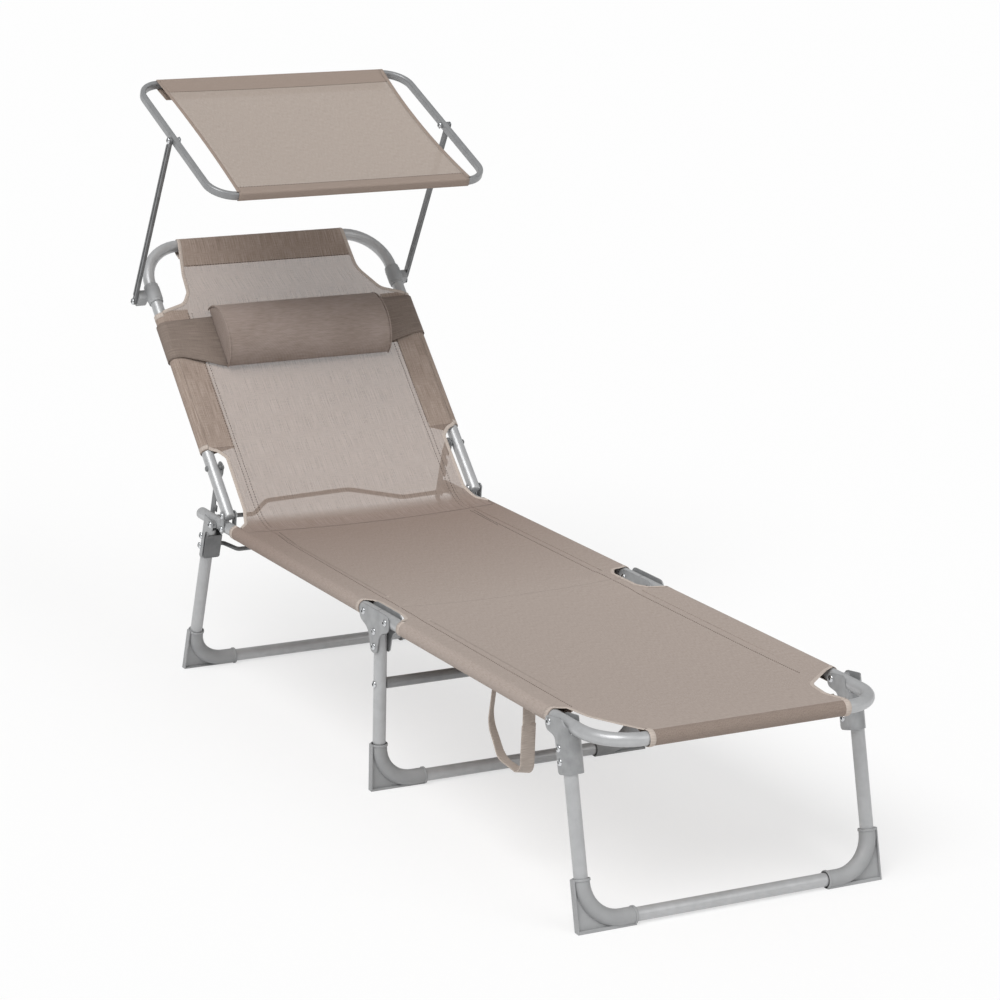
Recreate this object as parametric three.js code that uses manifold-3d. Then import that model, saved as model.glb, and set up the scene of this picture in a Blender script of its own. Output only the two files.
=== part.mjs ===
// Folding sun lounger with a tilting canopy, in millimetres.
// +Z is up, +Y points to the head end, +X is the right side of someone lying on it.

import * as THREE from 'three';
import { mergeVertices } from 'three/addons/utils/BufferGeometryUtils.js';
import Module from 'manifold-3d';

const wasm = await Module();
wasm.setup();

// Clearances
const seatGap = 0.3; // between pieces that touch
const looseGap = 0.5; // between a bracket and the rail that it folds round
const overrun = 6; // how far a cut reaches past its piece
const meshTolerance = 1e-4;
const stationTolerance = 1e-9; // share of a station that counts as having reached it

// Corner radii as shares of the half width that they round, and the steps of an arc
const roundEndShare = 0.95;
const softEndShare = 0.9;
const slotRoundShare = 0.99;
const strapTurnShare = 0.98;
const cornerSteps = 4;

// Tubes and sheet metal
const tubeDiameter = 22;
const tubeWall = 1.2;
const tubeSides = 12;
const bendSteps = 5;
const sheetThickness = 1.8;
const plateThickness = 2;

// Overall plan
const railHeight = 303; // rail centre line above the floor
const railHalfSpan = 251; // rail centre line from the middle
const hingeSpacing = 78; // between the two pivots of the middle hinge
const buttGap = 2; // between the ends of the foot and seat rails
const footSectionLength = 693; // middle hinge to foot bar
const seatSectionLength = 687; // middle hinge to rail end
const footBendRadius = 70;

// Rivets and pins
const pinDiameter = 6;
const pinHeadRadius = 5.4;
const pinHeadHeight = 2.4;
const pinSides = 10;
const domeRings = 2;
const domeSinkShare = 1 / 3; // of a head's height, sunk behind its plane

// Leg frames
const legOutset = 8; // front and rear legs' centre lines outside the rails'
const legBendRadius = 62;
const barHeight = 13.5; // floor bar centre line above the floor
const frontLean = THREE.MathUtils.degToRad(14.04);
const rearLean = THREE.MathUtils.degToRad(16.4);
const frontPivotSetback = 131; // from the foot bar
const rearPivotSetback = 80; // from the rail ends
const frontLegOffset = 30.3; // pivot to leg centre line
const rearLegOffset = 22.7;

// Corner shoes
const shoeWall = 2.2;
const shoeHeight = 82;
const shoeLength = 102;
const shoeOuterReach = 16; // outer face past the leg centre line
const shoeFlange = 3.5;
const shoeHalfDepth = 14;
const shoeWebThickness = 6;

// Leg brackets
const earRadius = 11;
const cheekSetback = 15; // channel's open edge from the pivot
const channelDrop = 80; // bottom edge below the pivot, along the leg
const channelCornerRadius = 11;
const channelCornerSteps = 4;
const bracketRivetDrops = [40, 61];
const bracketRivetShift = 7; // towards the head, from the leg centre line
const earGapShare = 1 / 3; // of the seat gap, kept between an ear and the plates in it
const cheekNoseShares = [0.86, 0.55, 0.5]; // reach, height and radius of the cheek's upper corner
const cheekChinShares = [0.96, 0.7, 0.6]; // reach, drop and radius of the corner below it
const cheekStepShare = 1.6; // drop of the channel's top edge
const cheekFootShare = 0.5; // radius of the lowest corner
const cheekWaistShare = 2; // drop of the corner where the cheek meets the ear
const spacerRadius = 7;

// Middle hinge
const hingeLobe = 14;
const hingeTipDrop = 62;
const hingeTipHalfWidth = 11;
const hingeRivetDrops = [25, 51];
const crossbarDiameter = 19;
const crossbarHeight = 186;
const middleLegTop = 29; // below the rail centre line
const crossbarHeadSink = 0.3;

// Backrest
const backrestAngle = THREE.MathUtils.degToRad(45.2);
const backrestSetback = 115; // pivot from the rail ends
const backrestRise = 24; // pivot above the rail centre line
const backrestLength = 586; // pivot to the top bar
const backrestBendRadius = 82;
const backrestTail = 6; // tube past the pivot
const hingePlateRadius = 8;
const hingePlateShift = 3;

// Support arms and their rod
const armPivotReach = 100; // up the backrest from its pivot
const armSwing = THREE.MathUtils.degToRad(59.8);
const armInset = 17; // arm middle inside the tube centre line
const armLength = 128;
const armRearWidth = 20;
const armToothWidth = 4;
const armNotchDepth = 8.5;
const armNotchWidth = 9;
const armNotchReaches = [29.4, 51.7, 74.1, 95.5, 115.4];
const armEyeRadius = 10;
const armBossHeight = 5;
const armBossShare = 0.6; // these are shares of the eye's radius
const armNeckShares = [0.8, 0.6];
const armShoulderShare = 2.4;
const armNotchRoundShare = 0.3; // of the notch's width
const armHeelRoundShare = 0.4; // of the width behind the eye
const armWasherShare = 0.8; // of the brackets' spacer radius
const armCornerSteps = 3;
const rodDiameter = 8;
const rodSetback = 32; // from the rail ends
const rodRise = 23;
const rodLowHalfSpan = 200;
const rodHighHalfSpan = 150;
const rodBendRadius = 25;
const rodBendSteps = 3;
const rodEndReach = 4.8; // into the rail
const braceForward = 27; // middle of the brace before its ends
const braceEndLength = 12;
const braceSlant = 18; // sideways run between its ends and its middle
const braceBendRadius = 10;

// Rail end caps
const capCrown = 7;
const capPlugLength = 14;
const capPlugWall = 2;

// Canopy
const clampDrop = 124; // lower end below the top bar
const clampLength = 40;
const clampWall = 2.1;
const clampEarHeight = 18;
const clampEarRoundShare = 0.48; // of the ear's height
const strutBoltRise = 23; // above the clamp's lower end
const strutBoltSetback = 22.9;
const strutGap = 17; // strut's inner face outside the backrest tube
const strutThickness = 6;
const strutWidth = 12;
const strutLength = 366;
const strutAngle = THREE.MathUtils.degToRad(72.1);
const canopyTilt = THREE.MathUtils.degToRad(-4.6);
const canopyHalfSpan = 273.5;
const canopyHalfLength = 194.3;
const canopyTubeWidth = 10;
const canopyTubeDepth = 15;
const canopyTubeRound = 3.2;
const canopyBendRadius = 47;
const canopyCornerSteps = 2;
const canopyClothHalfWidth = 230;
const canopyHemDepth = 38;
const canopySleeveDepth = 20;
const nutRadius = 5;
const nutHeight = 4.5;
const nutSides = 6;

// Cloth
const clothThickness = 1.6;
const sleeveThickness = 1.3;
const footSleeveStart = 148; // from the foot bar
const footSleeveEnd = 40; // from the foot rail's hinge pivot
const seatSleeveStart = 20; // from the seat rail's hinge pivot
const seatSleeveEnd = 153.4; // from the rail ends
const clothSplit = 2;
const footSleeveHalfWidth = 181;
const frontCutoutHalfWidth = 190;
const frontCutoutDepth = 81;
const frontCutoutRadius = 22;
const middleCutoutHalfWidth = 223;
const middleCutoutRadius = 11;
const seatClothEnd = 152; // from the rail ends
const backClothStart = -27;
const backClothHalfWidth = 215;
const backCutoutRadius = 11;
const backSleeveStart = 139;
const backSleeveDrop = 154; // these two are below the top bar
const topSleeveHalfWidth = 169;
const topCutoutHalfWidth = 188;
const topCutoutDrop = 107;
const topCutoutRadius = 33;

// Headrest
const pillowHalfLength = 182;
const pillowHalfHeight = 64;
const pillowHalfDepth = 45;
const pillowDrop = 221; // middle, below the top bar
const pillowEndShare = 0.9; // end panels against the middle
const pillowDepthShare = 1.15; // of the half depth, kept in front of the flat back
const pillowDrawInPower = 4;
const pillowRings = 12;
const pillowCrown = 5;
const pillowSegments = 26;
const strapWidth = 70;
const strapThickness = 1.4;

// Carry handle
const handleInset = 6.5; // from the rail centre line
const handleThickness = 1.6;
const handleWidth = 26;
const handleFrontReach = 268; // from the foot bar
const handleRearReach = 364;
const handleBulge = 5;
const handleDrop = 135; // from the rail centre line
const handleShallowDrop = 84;
const handleRootShare = 0.92; // of the sleeve's radius, where its ends start
const handleTurnShare = 0.3; // of its length, the radius of its tight bends

// Sizes worked out from those above
const tubeRadius = tubeDiameter / 2;
const legHalfSpan = railHalfSpan + legOutset;
const clampReach = backrestLength - clampDrop;
const strutBoltReach = clampReach + strutBoltRise;
const backSleeveEnd = backrestLength - backSleeveDrop;
const topCutoutReach = backrestLength - topCutoutDrop;
const pillowReach = backrestLength - pillowDrop;
const pinRadius = pinDiameter / 2;
const sleeveInner = tubeRadius + seatGap;
const sleeveOuter = sleeveInner + sleeveThickness;
const clothRise = sleeveInner; // underside of the cloth over the tube centre line
const outerPlateFace = railHalfSpan + tubeRadius + seatGap;
const innerPlateFace = railHalfSpan - tubeRadius - seatGap;
const innerEarFace = railHalfSpan - tubeRadius - looseGap - seatGap * earGapShare;
const outerEarFace = legHalfSpan + tubeRadius + seatGap;
const strutInnerFace = railHalfSpan + tubeRadius + strutGap;

// Materials, each part of the lounger has its own copy
const paint = { color: 0xa9abad, roughness: 0.45, metalness: 0.6 };
const bright = { color: 0xd0d2d4, roughness: 0.25, metalness: 1 };
const plastic = { color: 0x9fa1a3, roughness: 0.6, metalness: 0 };
const cloth = { color: 0x9d9087, roughness: 0.9, metalness: 0 };
const darkCloth = { color: 0x857869, roughness: 0.92, metalness: 0 };
const webbing = { color: 0xb5a597, roughness: 0.9, metalness: 0 };

// Mesh helpers

function solidOf(geometry) {
  const bare = geometry.clone();
  bare.deleteAttribute('normal');
  bare.deleteAttribute('uv');
  const merged = mergeVertices(bare, meshTolerance);
  return new wasm.Manifold(new wasm.Mesh({
    numProp: 3,
    vertProperties: new Float32Array(merged.attributes.position.array),
    triVerts: new Uint32Array(merged.index.array),
  }));
}

function geometryOf(solid) {
  const mesh = solid.getMesh();
  const geometry = new THREE.BufferGeometry();
  geometry.setAttribute('position', new THREE.BufferAttribute(mesh.vertProperties, 3));
  geometry.setIndex(new THREE.BufferAttribute(mesh.triVerts, 1));
  geometry.computeVertexNormals();
  return geometry;
}

function joined(geometries) {
  return geometryOf(geometries.map(solidOf).reduce((whole, next) => whole.add(next)));
}

function cut(geometry, tools) {
  return geometryOf(tools.map(solidOf).reduce((whole, tool) => whole.subtract(tool), solidOf(geometry)));
}

function common(geometry, other) {
  return geometryOf(solidOf(geometry).intersect(solidOf(other)));
}

function addPart(parent, name, geometry, finish) {
  const mesh = new THREE.Mesh(geometry, new THREE.MeshStandardMaterial(finish));
  mesh.name = name;
  parent.add(mesh);
  return mesh;
}

function addBody(parent, name, y, z, angle = 0) {
  const body = new THREE.Group();
  body.name = name;
  body.position.set(0, y, z);
  body.rotation.x = angle;
  parent.add(body);
  return body;
}

// Outlines and paths

// A closed or open run of corners, each [x, y] or [x, y, radius], with its corners rounded
function rounded(corners, closed = true, steps = cornerSteps) {
  const points = [];
  corners.forEach((corner, i) => {
    const here = new THREE.Vector2(corner[0], corner[1]);
    const isEnd = !closed && (i === 0 || i === corners.length - 1);
    if (!corner[2] || isEnd) {
      points.push(here);
      return;
    }
    const last = corners[(i + corners.length - 1) % corners.length];
    const next = corners[(i + 1) % corners.length];
    const back = new THREE.Vector2(last[0], last[1]).sub(here).normalize();
    const ahead = new THREE.Vector2(next[0], next[1]).sub(here).normalize();
    const half = Math.acos(THREE.MathUtils.clamp(back.dot(ahead), -1, 1)) / 2;
    const inward = back.clone().add(ahead).normalize();
    const centre = inward.multiplyScalar(corner[2] / Math.sin(half)).add(here);
    const start = back.clone().multiplyScalar(corner[2] / Math.tan(half)).add(here).sub(centre);
    const end = ahead.clone().multiplyScalar(corner[2] / Math.tan(half)).add(here).sub(centre);
    const turn = Math.atan2(start.x * end.y - start.y * end.x, start.dot(end));
    for (let k = 0; k <= steps; k += 1) {
      points.push(start.clone().rotateAround(new THREE.Vector2(), (turn * k) / steps).add(centre));
    }
  });
  return points;
}

function circlePoints(radius, sides, x = 0, y = 0) {
  return Array.from({ length: sides }, (_, k) => {
    const angle = (2 * Math.PI * k) / sides;
    return new THREE.Vector2(x + radius * Math.cos(angle), y + radius * Math.sin(angle));
  });
}

function ringShape(outer, inner, sides = tubeSides) {
  const shape = new THREE.Shape(circlePoints(outer, sides));
  if (inner > 0) shape.holes.push(new THREE.Path(circlePoints(inner, sides)));
  return shape;
}

// A curve that passes through given stations, with its section held square to one plane
class StationPath extends THREE.Curve {
  constructor(stations, planeNormal) {
    super();
    this.stations = stations;
    this.planeNormal = planeNormal;
  }

  getPoint(t, target = new THREE.Vector3()) {
    const place = t * (this.stations.length - 1);
    const before = Math.min(Math.floor(place + stationTolerance), this.stations.length - 2);
    return target.lerpVectors(this.stations[before], this.stations[before + 1], place - before);
  }

  getUtoTmapping(u) {
    return u;
  }

  computeFrenetFrames() {
    const last = this.stations.length - 1;
    const step = (k) => this.stations[k + 1].clone().sub(this.stations[k]).normalize();
    const tangents = this.stations.map((_, k) => {
      const ahead = step(Math.min(k, last - 1));
      const behind = step(Math.max(k - 1, 0));
      return ahead.add(behind).normalize();
    });
    const normals = tangents.map(() => this.planeNormal.clone());
    const binormals = tangents.map((tangent) => tangent.clone().cross(this.planeNormal));
    return { tangents, normals, binormals };
  }
}

function sweep(shape, stations, planeNormal) {
  return new THREE.ExtrudeGeometry(shape, {
    steps: stations.length - 1,
    extrudePath: new StationPath(stations, planeNormal),
  });
}

const axisX = new THREE.Vector3(1, 0, 0);
const axisY = new THREE.Vector3(0, 1, 0);
const axisZ = new THREE.Vector3(0, 0, 1);

// Extrusions along X of an outline in (y, z), along Z of one in (x, y), along Y of one in (x, z)

function slab(outline, from, to, basis, holes = []) {
  const shape = outline instanceof THREE.Shape ? outline : new THREE.Shape(outline);
  holes.forEach((hole) => shape.holes.push(new THREE.Path(hole)));
  const geometry = new THREE.ExtrudeGeometry(shape, { depth: to - from, bevelEnabled: false, steps: 1 });
  geometry.translate(0, 0, from);
  return geometry.applyMatrix4(basis);
}

const alongX = new THREE.Matrix4().makeBasis(axisY, axisZ, axisX);
const alongZ = new THREE.Matrix4();
const alongY = new THREE.Matrix4().makeBasis(axisZ, axisX, axisY); // outline is (z, x)

function slabX(outline, from, to, holes) {
  return slab(outline, Math.min(from, to), Math.max(from, to), alongX, holes);
}

function slabZ(outline, from, to, holes) {
  return slab(outline, Math.min(from, to), Math.max(from, to), alongZ, holes);
}

function slabY(outline, from, to, holes) {
  return slab(outline, Math.min(from, to), Math.max(from, to), alongY, holes);
}

function rodX(radius, from, to, y, z, sides = pinSides) {
  return slabX(circlePoints(radius, sides, y, z), from, to);
}

// A rivet head on the plane x = face, bulging to the side that "side" points to
function dome(face, side, y, z, radius = pinHeadRadius, height = pinHeadHeight) {
  const sink = height * domeSinkShare;
  const profile = [new THREE.Vector2(0, -sink), new THREE.Vector2(radius, -sink)];
  for (let k = 0; k <= domeRings; k += 1) {
    const angle = (Math.PI / 2) * (k / domeRings);
    profile.push(new THREE.Vector2(radius * Math.cos(angle), height * Math.sin(angle)));
  }
  profile[profile.length - 1].x = 0;
  const geometry = new THREE.LatheGeometry(profile, pinSides);
  geometry.rotateZ(-side * Math.PI / 2);
  return geometry.translate(face, y, z);
}

// A pin along X between two outer faces, with a domed head on each
function pin(innerFace, outerFace, y, z) {
  const side = Math.sign(outerFace - innerFace);
  const shank = rodX(pinRadius, innerFace - side * seatGap, outerFace + side * seatGap, y, z);
  const clear = seatGap + pinHeadHeight * domeSinkShare;
  const innerHead = dome(innerFace - side * clear, -side, y, z);
  const outerHead = dome(outerFace + side * clear, side, y, z);
  return joined([shank, innerHead, outerHead]);
}

function pinHole(from, to, y, z) {
  return rodX(pinRadius + seatGap, from, to, y, z);
}

// Just past both sides of a rail
function tubeFaces(side) {
  const reach = tubeRadius + overrun;
  return [side * railHalfSpan - reach, side * railHalfSpan + reach];
}

function straightTube(stations, normal, radius = tubeRadius, wall = tubeWall) {
  return sweep(ringShape(radius, radius - wall), stations, normal);
}

// Stations of a flat path: its corners are given in two coordinates and placed by "lift"
function pathStations(corners, lift, steps = bendSteps) {
  return rounded(corners, false, steps).map((point) => lift(point.x, point.y));
}

// Seat section, whose own frame has the seat pivot of the middle hinge at y = 0

function seatRail(side) {
  const x = side * railHalfSpan;
  const start = -hingeSpacing / 2 + buttGap / 2;
  const ends = [start, seatSectionLength].map((y) => new THREE.Vector3(x, y, railHeight));
  const tube = straightTube(ends, axisX);
  const through = tubeFaces(side);
  const rodHole = rodX(rodDiameter / 2 + seatGap, x - side * tubeDiameter, x, rodY, railHeight);
  return cut(tube, [
    pinHole(...through, 0, railHeight),
    pinHole(...through, seatSectionLength - rearPivotSetback, railHeight),
    rodHole,
  ]);
}

const rodY = seatSectionLength - rodSetback;
const backrestPivotY = seatSectionLength - backrestSetback;
const backrestPivotZ = railHeight + backrestRise;

// The plug of the cap fits inside the rail, and its crown covers the rail's end
function railEndCap(side) {
  const plugRadius = tubeRadius - tubeWall - seatGap;
  const profile = [
    new THREE.Vector2(0, capCrown - capPlugWall),
    new THREE.Vector2(plugRadius - capPlugWall, seatGap + capPlugWall / 2),
    new THREE.Vector2(plugRadius - capPlugWall, -capPlugLength),
    new THREE.Vector2(plugRadius, -capPlugLength),
    new THREE.Vector2(plugRadius, seatGap),
    new THREE.Vector2(tubeRadius, seatGap),
  ];
  for (let k = 1; k <= domeRings; k += 1) {
    const angle = (Math.PI / 2) * (k / domeRings);
    profile.push(new THREE.Vector2(tubeRadius * Math.cos(angle), seatGap + capCrown * Math.sin(angle)));
  }
  profile[profile.length - 1].x = 0;
  const geometry = new THREE.LatheGeometry(profile, tubeSides);
  return geometry.translate(side * railHalfSpan, seatSectionLength, railHeight);
}

function backrestHingePlate(side, outer) {
  const face = outer ? outerPlateFace : innerPlateFace;
  const out = outer ? 1 : -1;
  const far = face + out * plateThickness;
  const rivetY = backrestPivotY + hingePlateShift;
  const rivetZ = railHeight - hingePlateShift / 2;
  const reach = hingePlateRadius;
  const soft = hingePlateRadius * softEndShare;
  const outline = rounded([
    [backrestPivotY - reach, backrestPivotZ + reach, soft],
    [rivetY - reach, rivetZ - reach, soft],
    [rivetY + reach, rivetZ - reach, soft],
    [backrestPivotY + reach, backrestPivotZ + reach, soft],
  ]);
  const hole = circlePoints(pinRadius + seatGap, pinSides, backrestPivotY, backrestPivotZ);
  const plate = slabX(outline, side * face, side * far, [hole]);
  return joined([plate, dome(side * far, side * out, rivetY, rivetZ)]);
}

function lockingRod() {
  const end = railHalfSpan - tubeRadius + rodEndReach;
  const low = railHeight;
  const high = railHeight + rodRise;
  const corners = [
    [-end, low],
    [-rodLowHalfSpan, low, rodBendRadius],
    [-rodHighHalfSpan, high, rodBendRadius],
    [rodHighHalfSpan, high, rodBendRadius],
    [rodLowHalfSpan, low, rodBendRadius],
    [end, low],
  ];
  const stations = pathStations(corners, (x, z) => new THREE.Vector3(x, rodY, z), rodBendSteps);
  return sweep(ringShape(rodDiameter / 2, 0), stations, axisY);
}

// Cloth round a rail: a ring from one y to another
function railSleeve(side, from, to) {
  const ends = [from, to].map((y) => new THREE.Vector3(side * railHalfSpan, y, railHeight));
  return sweep(ringShape(sleeveOuter, sleeveInner), ends, axisX);
}

function seatCloth() {
  const start = -hingeSpacing / 2 + clothSplit / 2;
  const end = seatSectionLength - seatClothEnd;
  const sleeveEnd = seatSectionLength - seatSleeveEnd;
  const underside = railHeight + clothRise;
  const halfOutline = [
    [middleCutoutHalfWidth, start],
    [middleCutoutHalfWidth, seatSleeveStart - middleCutoutRadius, middleCutoutRadius],
    [railHalfSpan, seatSleeveStart],
    [railHalfSpan, sleeveEnd],
    [backClothHalfWidth, end],
  ];
  const outline = mirrored(halfOutline);
  const sheet = slabZ(rounded(outline), underside, underside + clothThickness);
  return joined([sheet, ...[-1, 1].map((side) => railSleeve(side, seatSleeveStart, sleeveEnd))]);
}

// A half outline on the +X side, from one end to the other, joined to its mirror image
function mirrored(half) {
  const other = half.map(([x, y, radius]) => [-x, y, radius]).reverse();
  return [...half, ...other];
}

// Middle hinge, whose own frame has the seat pivot at its origin

function hingeOutline() {
  const middle = -hingeSpacing / 2;
  const waist = hingeSpacing / 4;
  const shoulder = hingeRivetDrops[0];
  return rounded([
    [hingeLobe, hingeLobe, hingeLobe * roundEndShare],
    [-hingeSpacing - hingeLobe, hingeLobe, hingeLobe * roundEndShare],
    [-hingeSpacing - hingeLobe, -hingeLobe, hingeLobe * roundEndShare],
    [middle - waist, -shoulder, shoulder],
    [middle - hingeTipHalfWidth, -hingeTipDrop, hingeTipHalfWidth * softEndShare],
    [middle + hingeTipHalfWidth, -hingeTipDrop, hingeTipHalfWidth * softEndShare],
    [middle + waist, -shoulder, shoulder],
    [hingeLobe, -hingeLobe, hingeLobe * roundEndShare],
  ]);
}

function middleHingePlate(side, outer) {
  const face = outer ? outerPlateFace : innerPlateFace;
  const out = outer ? 1 : -1;
  const far = face + out * plateThickness;
  const holes = [0, -hingeSpacing].map((y) => circlePoints(pinRadius + seatGap, pinSides, y, 0));
  const plate = slabX(hingeOutline(), side * face, side * far, holes);
  const rivets = hingeRivetDrops.map((drop) => dome(side * far, side * out, -hingeSpacing / 2, -drop));
  return joined([plate, ...rivets]);
}

function middleLegFrame() {
  const bar = barHeight - railHeight;
  const corners = [
    [-railHalfSpan, -middleLegTop],
    [-railHalfSpan, bar, legBendRadius],
    [railHalfSpan, bar, legBendRadius],
    [railHalfSpan, -middleLegTop],
  ];
  const y = -hingeSpacing / 2;
  const stations = pathStations(corners, (x, z) => new THREE.Vector3(x, y, z));
  const tube = straightTube(stations, axisY.clone().negate());
  const drop = crossbarHeight - railHeight;
  const face = railHalfSpan + tubeRadius - crossbarHeadSink;
  const heads = [-1, 1].map((side) => dome(side * face, side, y, drop));
  return joined([tube, ...heads]);
}

function middleCrossbar() {
  const half = railHalfSpan - tubeRadius - seatGap;
  const y = -hingeSpacing / 2;
  const z = crossbarHeight - railHeight;
  const ends = [new THREE.Vector3(-half, y, z), new THREE.Vector3(half, y, z)];
  return straightTube(ends, axisY, crossbarDiameter / 2);
}

// Foot section, whose own frame has the foot pivot of the middle hinge at its origin

function footFrame() {
  const start = hingeSpacing / 2 - buttGap / 2;
  const corners = [
    [-railHalfSpan, start],
    [-railHalfSpan, -footSectionLength, footBendRadius],
    [railHalfSpan, -footSectionLength, footBendRadius],
    [railHalfSpan, start],
  ];
  const stations = pathStations(corners, (x, y) => new THREE.Vector3(x, y, 0));
  const tube = straightTube(stations, axisZ);
  const legPivot = frontPivotSetback - footSectionLength;
  const holes = [-1, 1].flatMap((side) => {
    const through = tubeFaces(side);
    return [pinHole(...through, 0, 0), pinHole(...through, legPivot, 0)];
  });
  return cut(tube, holes);
}

function footCloth() {
  const bar = -footSectionLength;
  const end = hingeSpacing / 2 - clothSplit / 2;
  const sleeveEnd = -footSleeveEnd;
  const sleeveStart = bar + footSleeveStart;
  const outline = rounded(mirrored([
    [footSleeveHalfWidth, bar],
    [frontCutoutHalfWidth, bar + frontCutoutDepth, frontCutoutRadius],
    [railHalfSpan, sleeveStart],
    [railHalfSpan, sleeveEnd],
    [middleCutoutHalfWidth, sleeveEnd + middleCutoutRadius, middleCutoutRadius],
    [middleCutoutHalfWidth, end],
  ]));
  const sheet = slabZ(outline, clothRise, clothRise + clothThickness);
  const sides = [-1, 1].map((side) => {
    const sleeve = railSleeve(side, sleeveStart, sleeveEnd);
    return sleeve.translate(0, 0, -railHeight);
  });
  const ends = [-1, 1].map((side) => new THREE.Vector3(side * footSleeveHalfWidth, bar, 0));
  const front = sweep(ringShape(sleeveOuter, sleeveInner), ends, axisZ);
  return joined([sheet, front, ...sides]);
}

// The webbing loop hangs from the underside of the left sleeve, its flat width across
function carryHandle() {
  const bar = -footSectionLength;
  const top = -sleeveOuter * handleRootShare;
  const front = bar + handleFrontReach;
  const rear = bar + handleRearReach;
  const turn = (rear - front) * handleTurnShare;
  const corners = [
    [front, top],
    [front + handleBulge, -handleShallowDrop, turn * 2],
    [(front + rear) / 2 - handleBulge * 2, -handleDrop, turn],
    [rear + handleBulge, -handleShallowDrop, turn],
    [rear, top],
  ];
  const x = -(railHalfSpan - handleInset - handleWidth / 2);
  const stations = pathStations(corners, (y, z) => new THREE.Vector3(x, y, z));
  const half = [handleWidth / 2, handleThickness / 2];
  const section = new THREE.Shape(rounded([
    [-half[0], -half[1]], [half[0], -half[1]], [half[0], half[1]], [-half[0], half[1]],
  ]));
  return sweep(section, stations, axisX);
}

// Leg frames, whose own frame has the pivot at its origin and the leg hanging straight down.
// "towards" is -1 where the leg stands before its pivot and 1 where it stands behind.

function legLayout(towards, lean, offset) {
  const cos = Math.cos(lean);
  const sin = Math.sin(lean);
  const bar = (railHeight - barHeight + offset * sin) / cos;
  const top = (tubeRadius + looseGap + tubeRadius * sin + offset * sin) / cos + looseGap;
  return { towards, lean, offset, bar, top, y: towards * offset };
}

const frontLegs = legLayout(-1, frontLean, frontLegOffset);
const rearLegs = legLayout(1, rearLean, rearLegOffset);
const middleLegs = {
  towards: 1, lean: 0, offset: 0, bar: railHeight - barHeight, top: middleLegTop, y: -hingeSpacing / 2,
};

function legFrame(leg) {
  const corners = [
    [-legHalfSpan, -leg.top],
    [-legHalfSpan, -leg.bar, legBendRadius],
    [legHalfSpan, -leg.bar, legBendRadius],
    [legHalfSpan, -leg.top],
  ];
  const stations = pathStations(corners, (x, z) => new THREE.Vector3(x, leg.y, z));
  return straightTube(stations, axisY.clone().negate());
}

// A moulded shoe: a sleeve round the bend, a web in the corner, and flanges outside and below
function cornerShoe(side, leg, halfSpan) {
  const outerEdge = halfSpan + shoeOuterReach;
  const bottom = -leg.bar - tubeRadius - shoeWall - shoeHalfDepth * Math.tan(leg.lean) - seatGap;
  const top = -leg.bar - tubeRadius - shoeWall + shoeHeight;
  const inner = outerEdge - shoeLength;
  const place = (x, z) => new THREE.Vector3(side * x, leg.y, z);
  const route = (extra) => pathStations([
    [halfSpan, top + extra],
    [halfSpan, -leg.bar, legBendRadius],
    [inner - extra, -leg.bar],
  ], place);
  const normal = new THREE.Vector3(0, -1, 0);
  const sleeve = sweep(ringShape(tubeRadius + seatGap + shoeWall, 0), route(0), normal);
  const bore = sweep(ringShape(tubeRadius + seatGap, 0), route(overrun), normal);
  const webOutline = rounded([
    [halfSpan, top],
    [halfSpan, -leg.bar, legBendRadius],
    [inner, -leg.bar],
    [inner, bottom],
    [outerEdge, bottom],
    [outerEdge, top],
  ], true, bendSteps).map((point) => new THREE.Vector2(point.y, side * point.x));
  const web = slabY(webOutline, leg.y - shoeWebThickness / 2, leg.y + shoeWebThickness / 2);
  const flangeOutline = [
    [outerEdge - shoeFlange, top],
    [outerEdge, top],
    [outerEdge, bottom],
    [inner, bottom],
    [inner, -leg.bar - tubeRadius],
    [outerEdge - shoeFlange, -leg.bar - tubeRadius],
  ].map(([x, z]) => new THREE.Vector2(z, side * x));
  const flange = slabY(flangeOutline, leg.y - shoeHalfDepth, leg.y + shoeHalfDepth);
  const block = (outerEdge + shoeLength) * 2;
  const floor = new THREE.BoxGeometry(block, block, block);
  floor.translate(0, 0, -railHeight - block / 2);
  floor.rotateX(-leg.towards * leg.lean);
  return cut(joined([sleeve, web, flange]), [bore, floor]);
}

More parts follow.
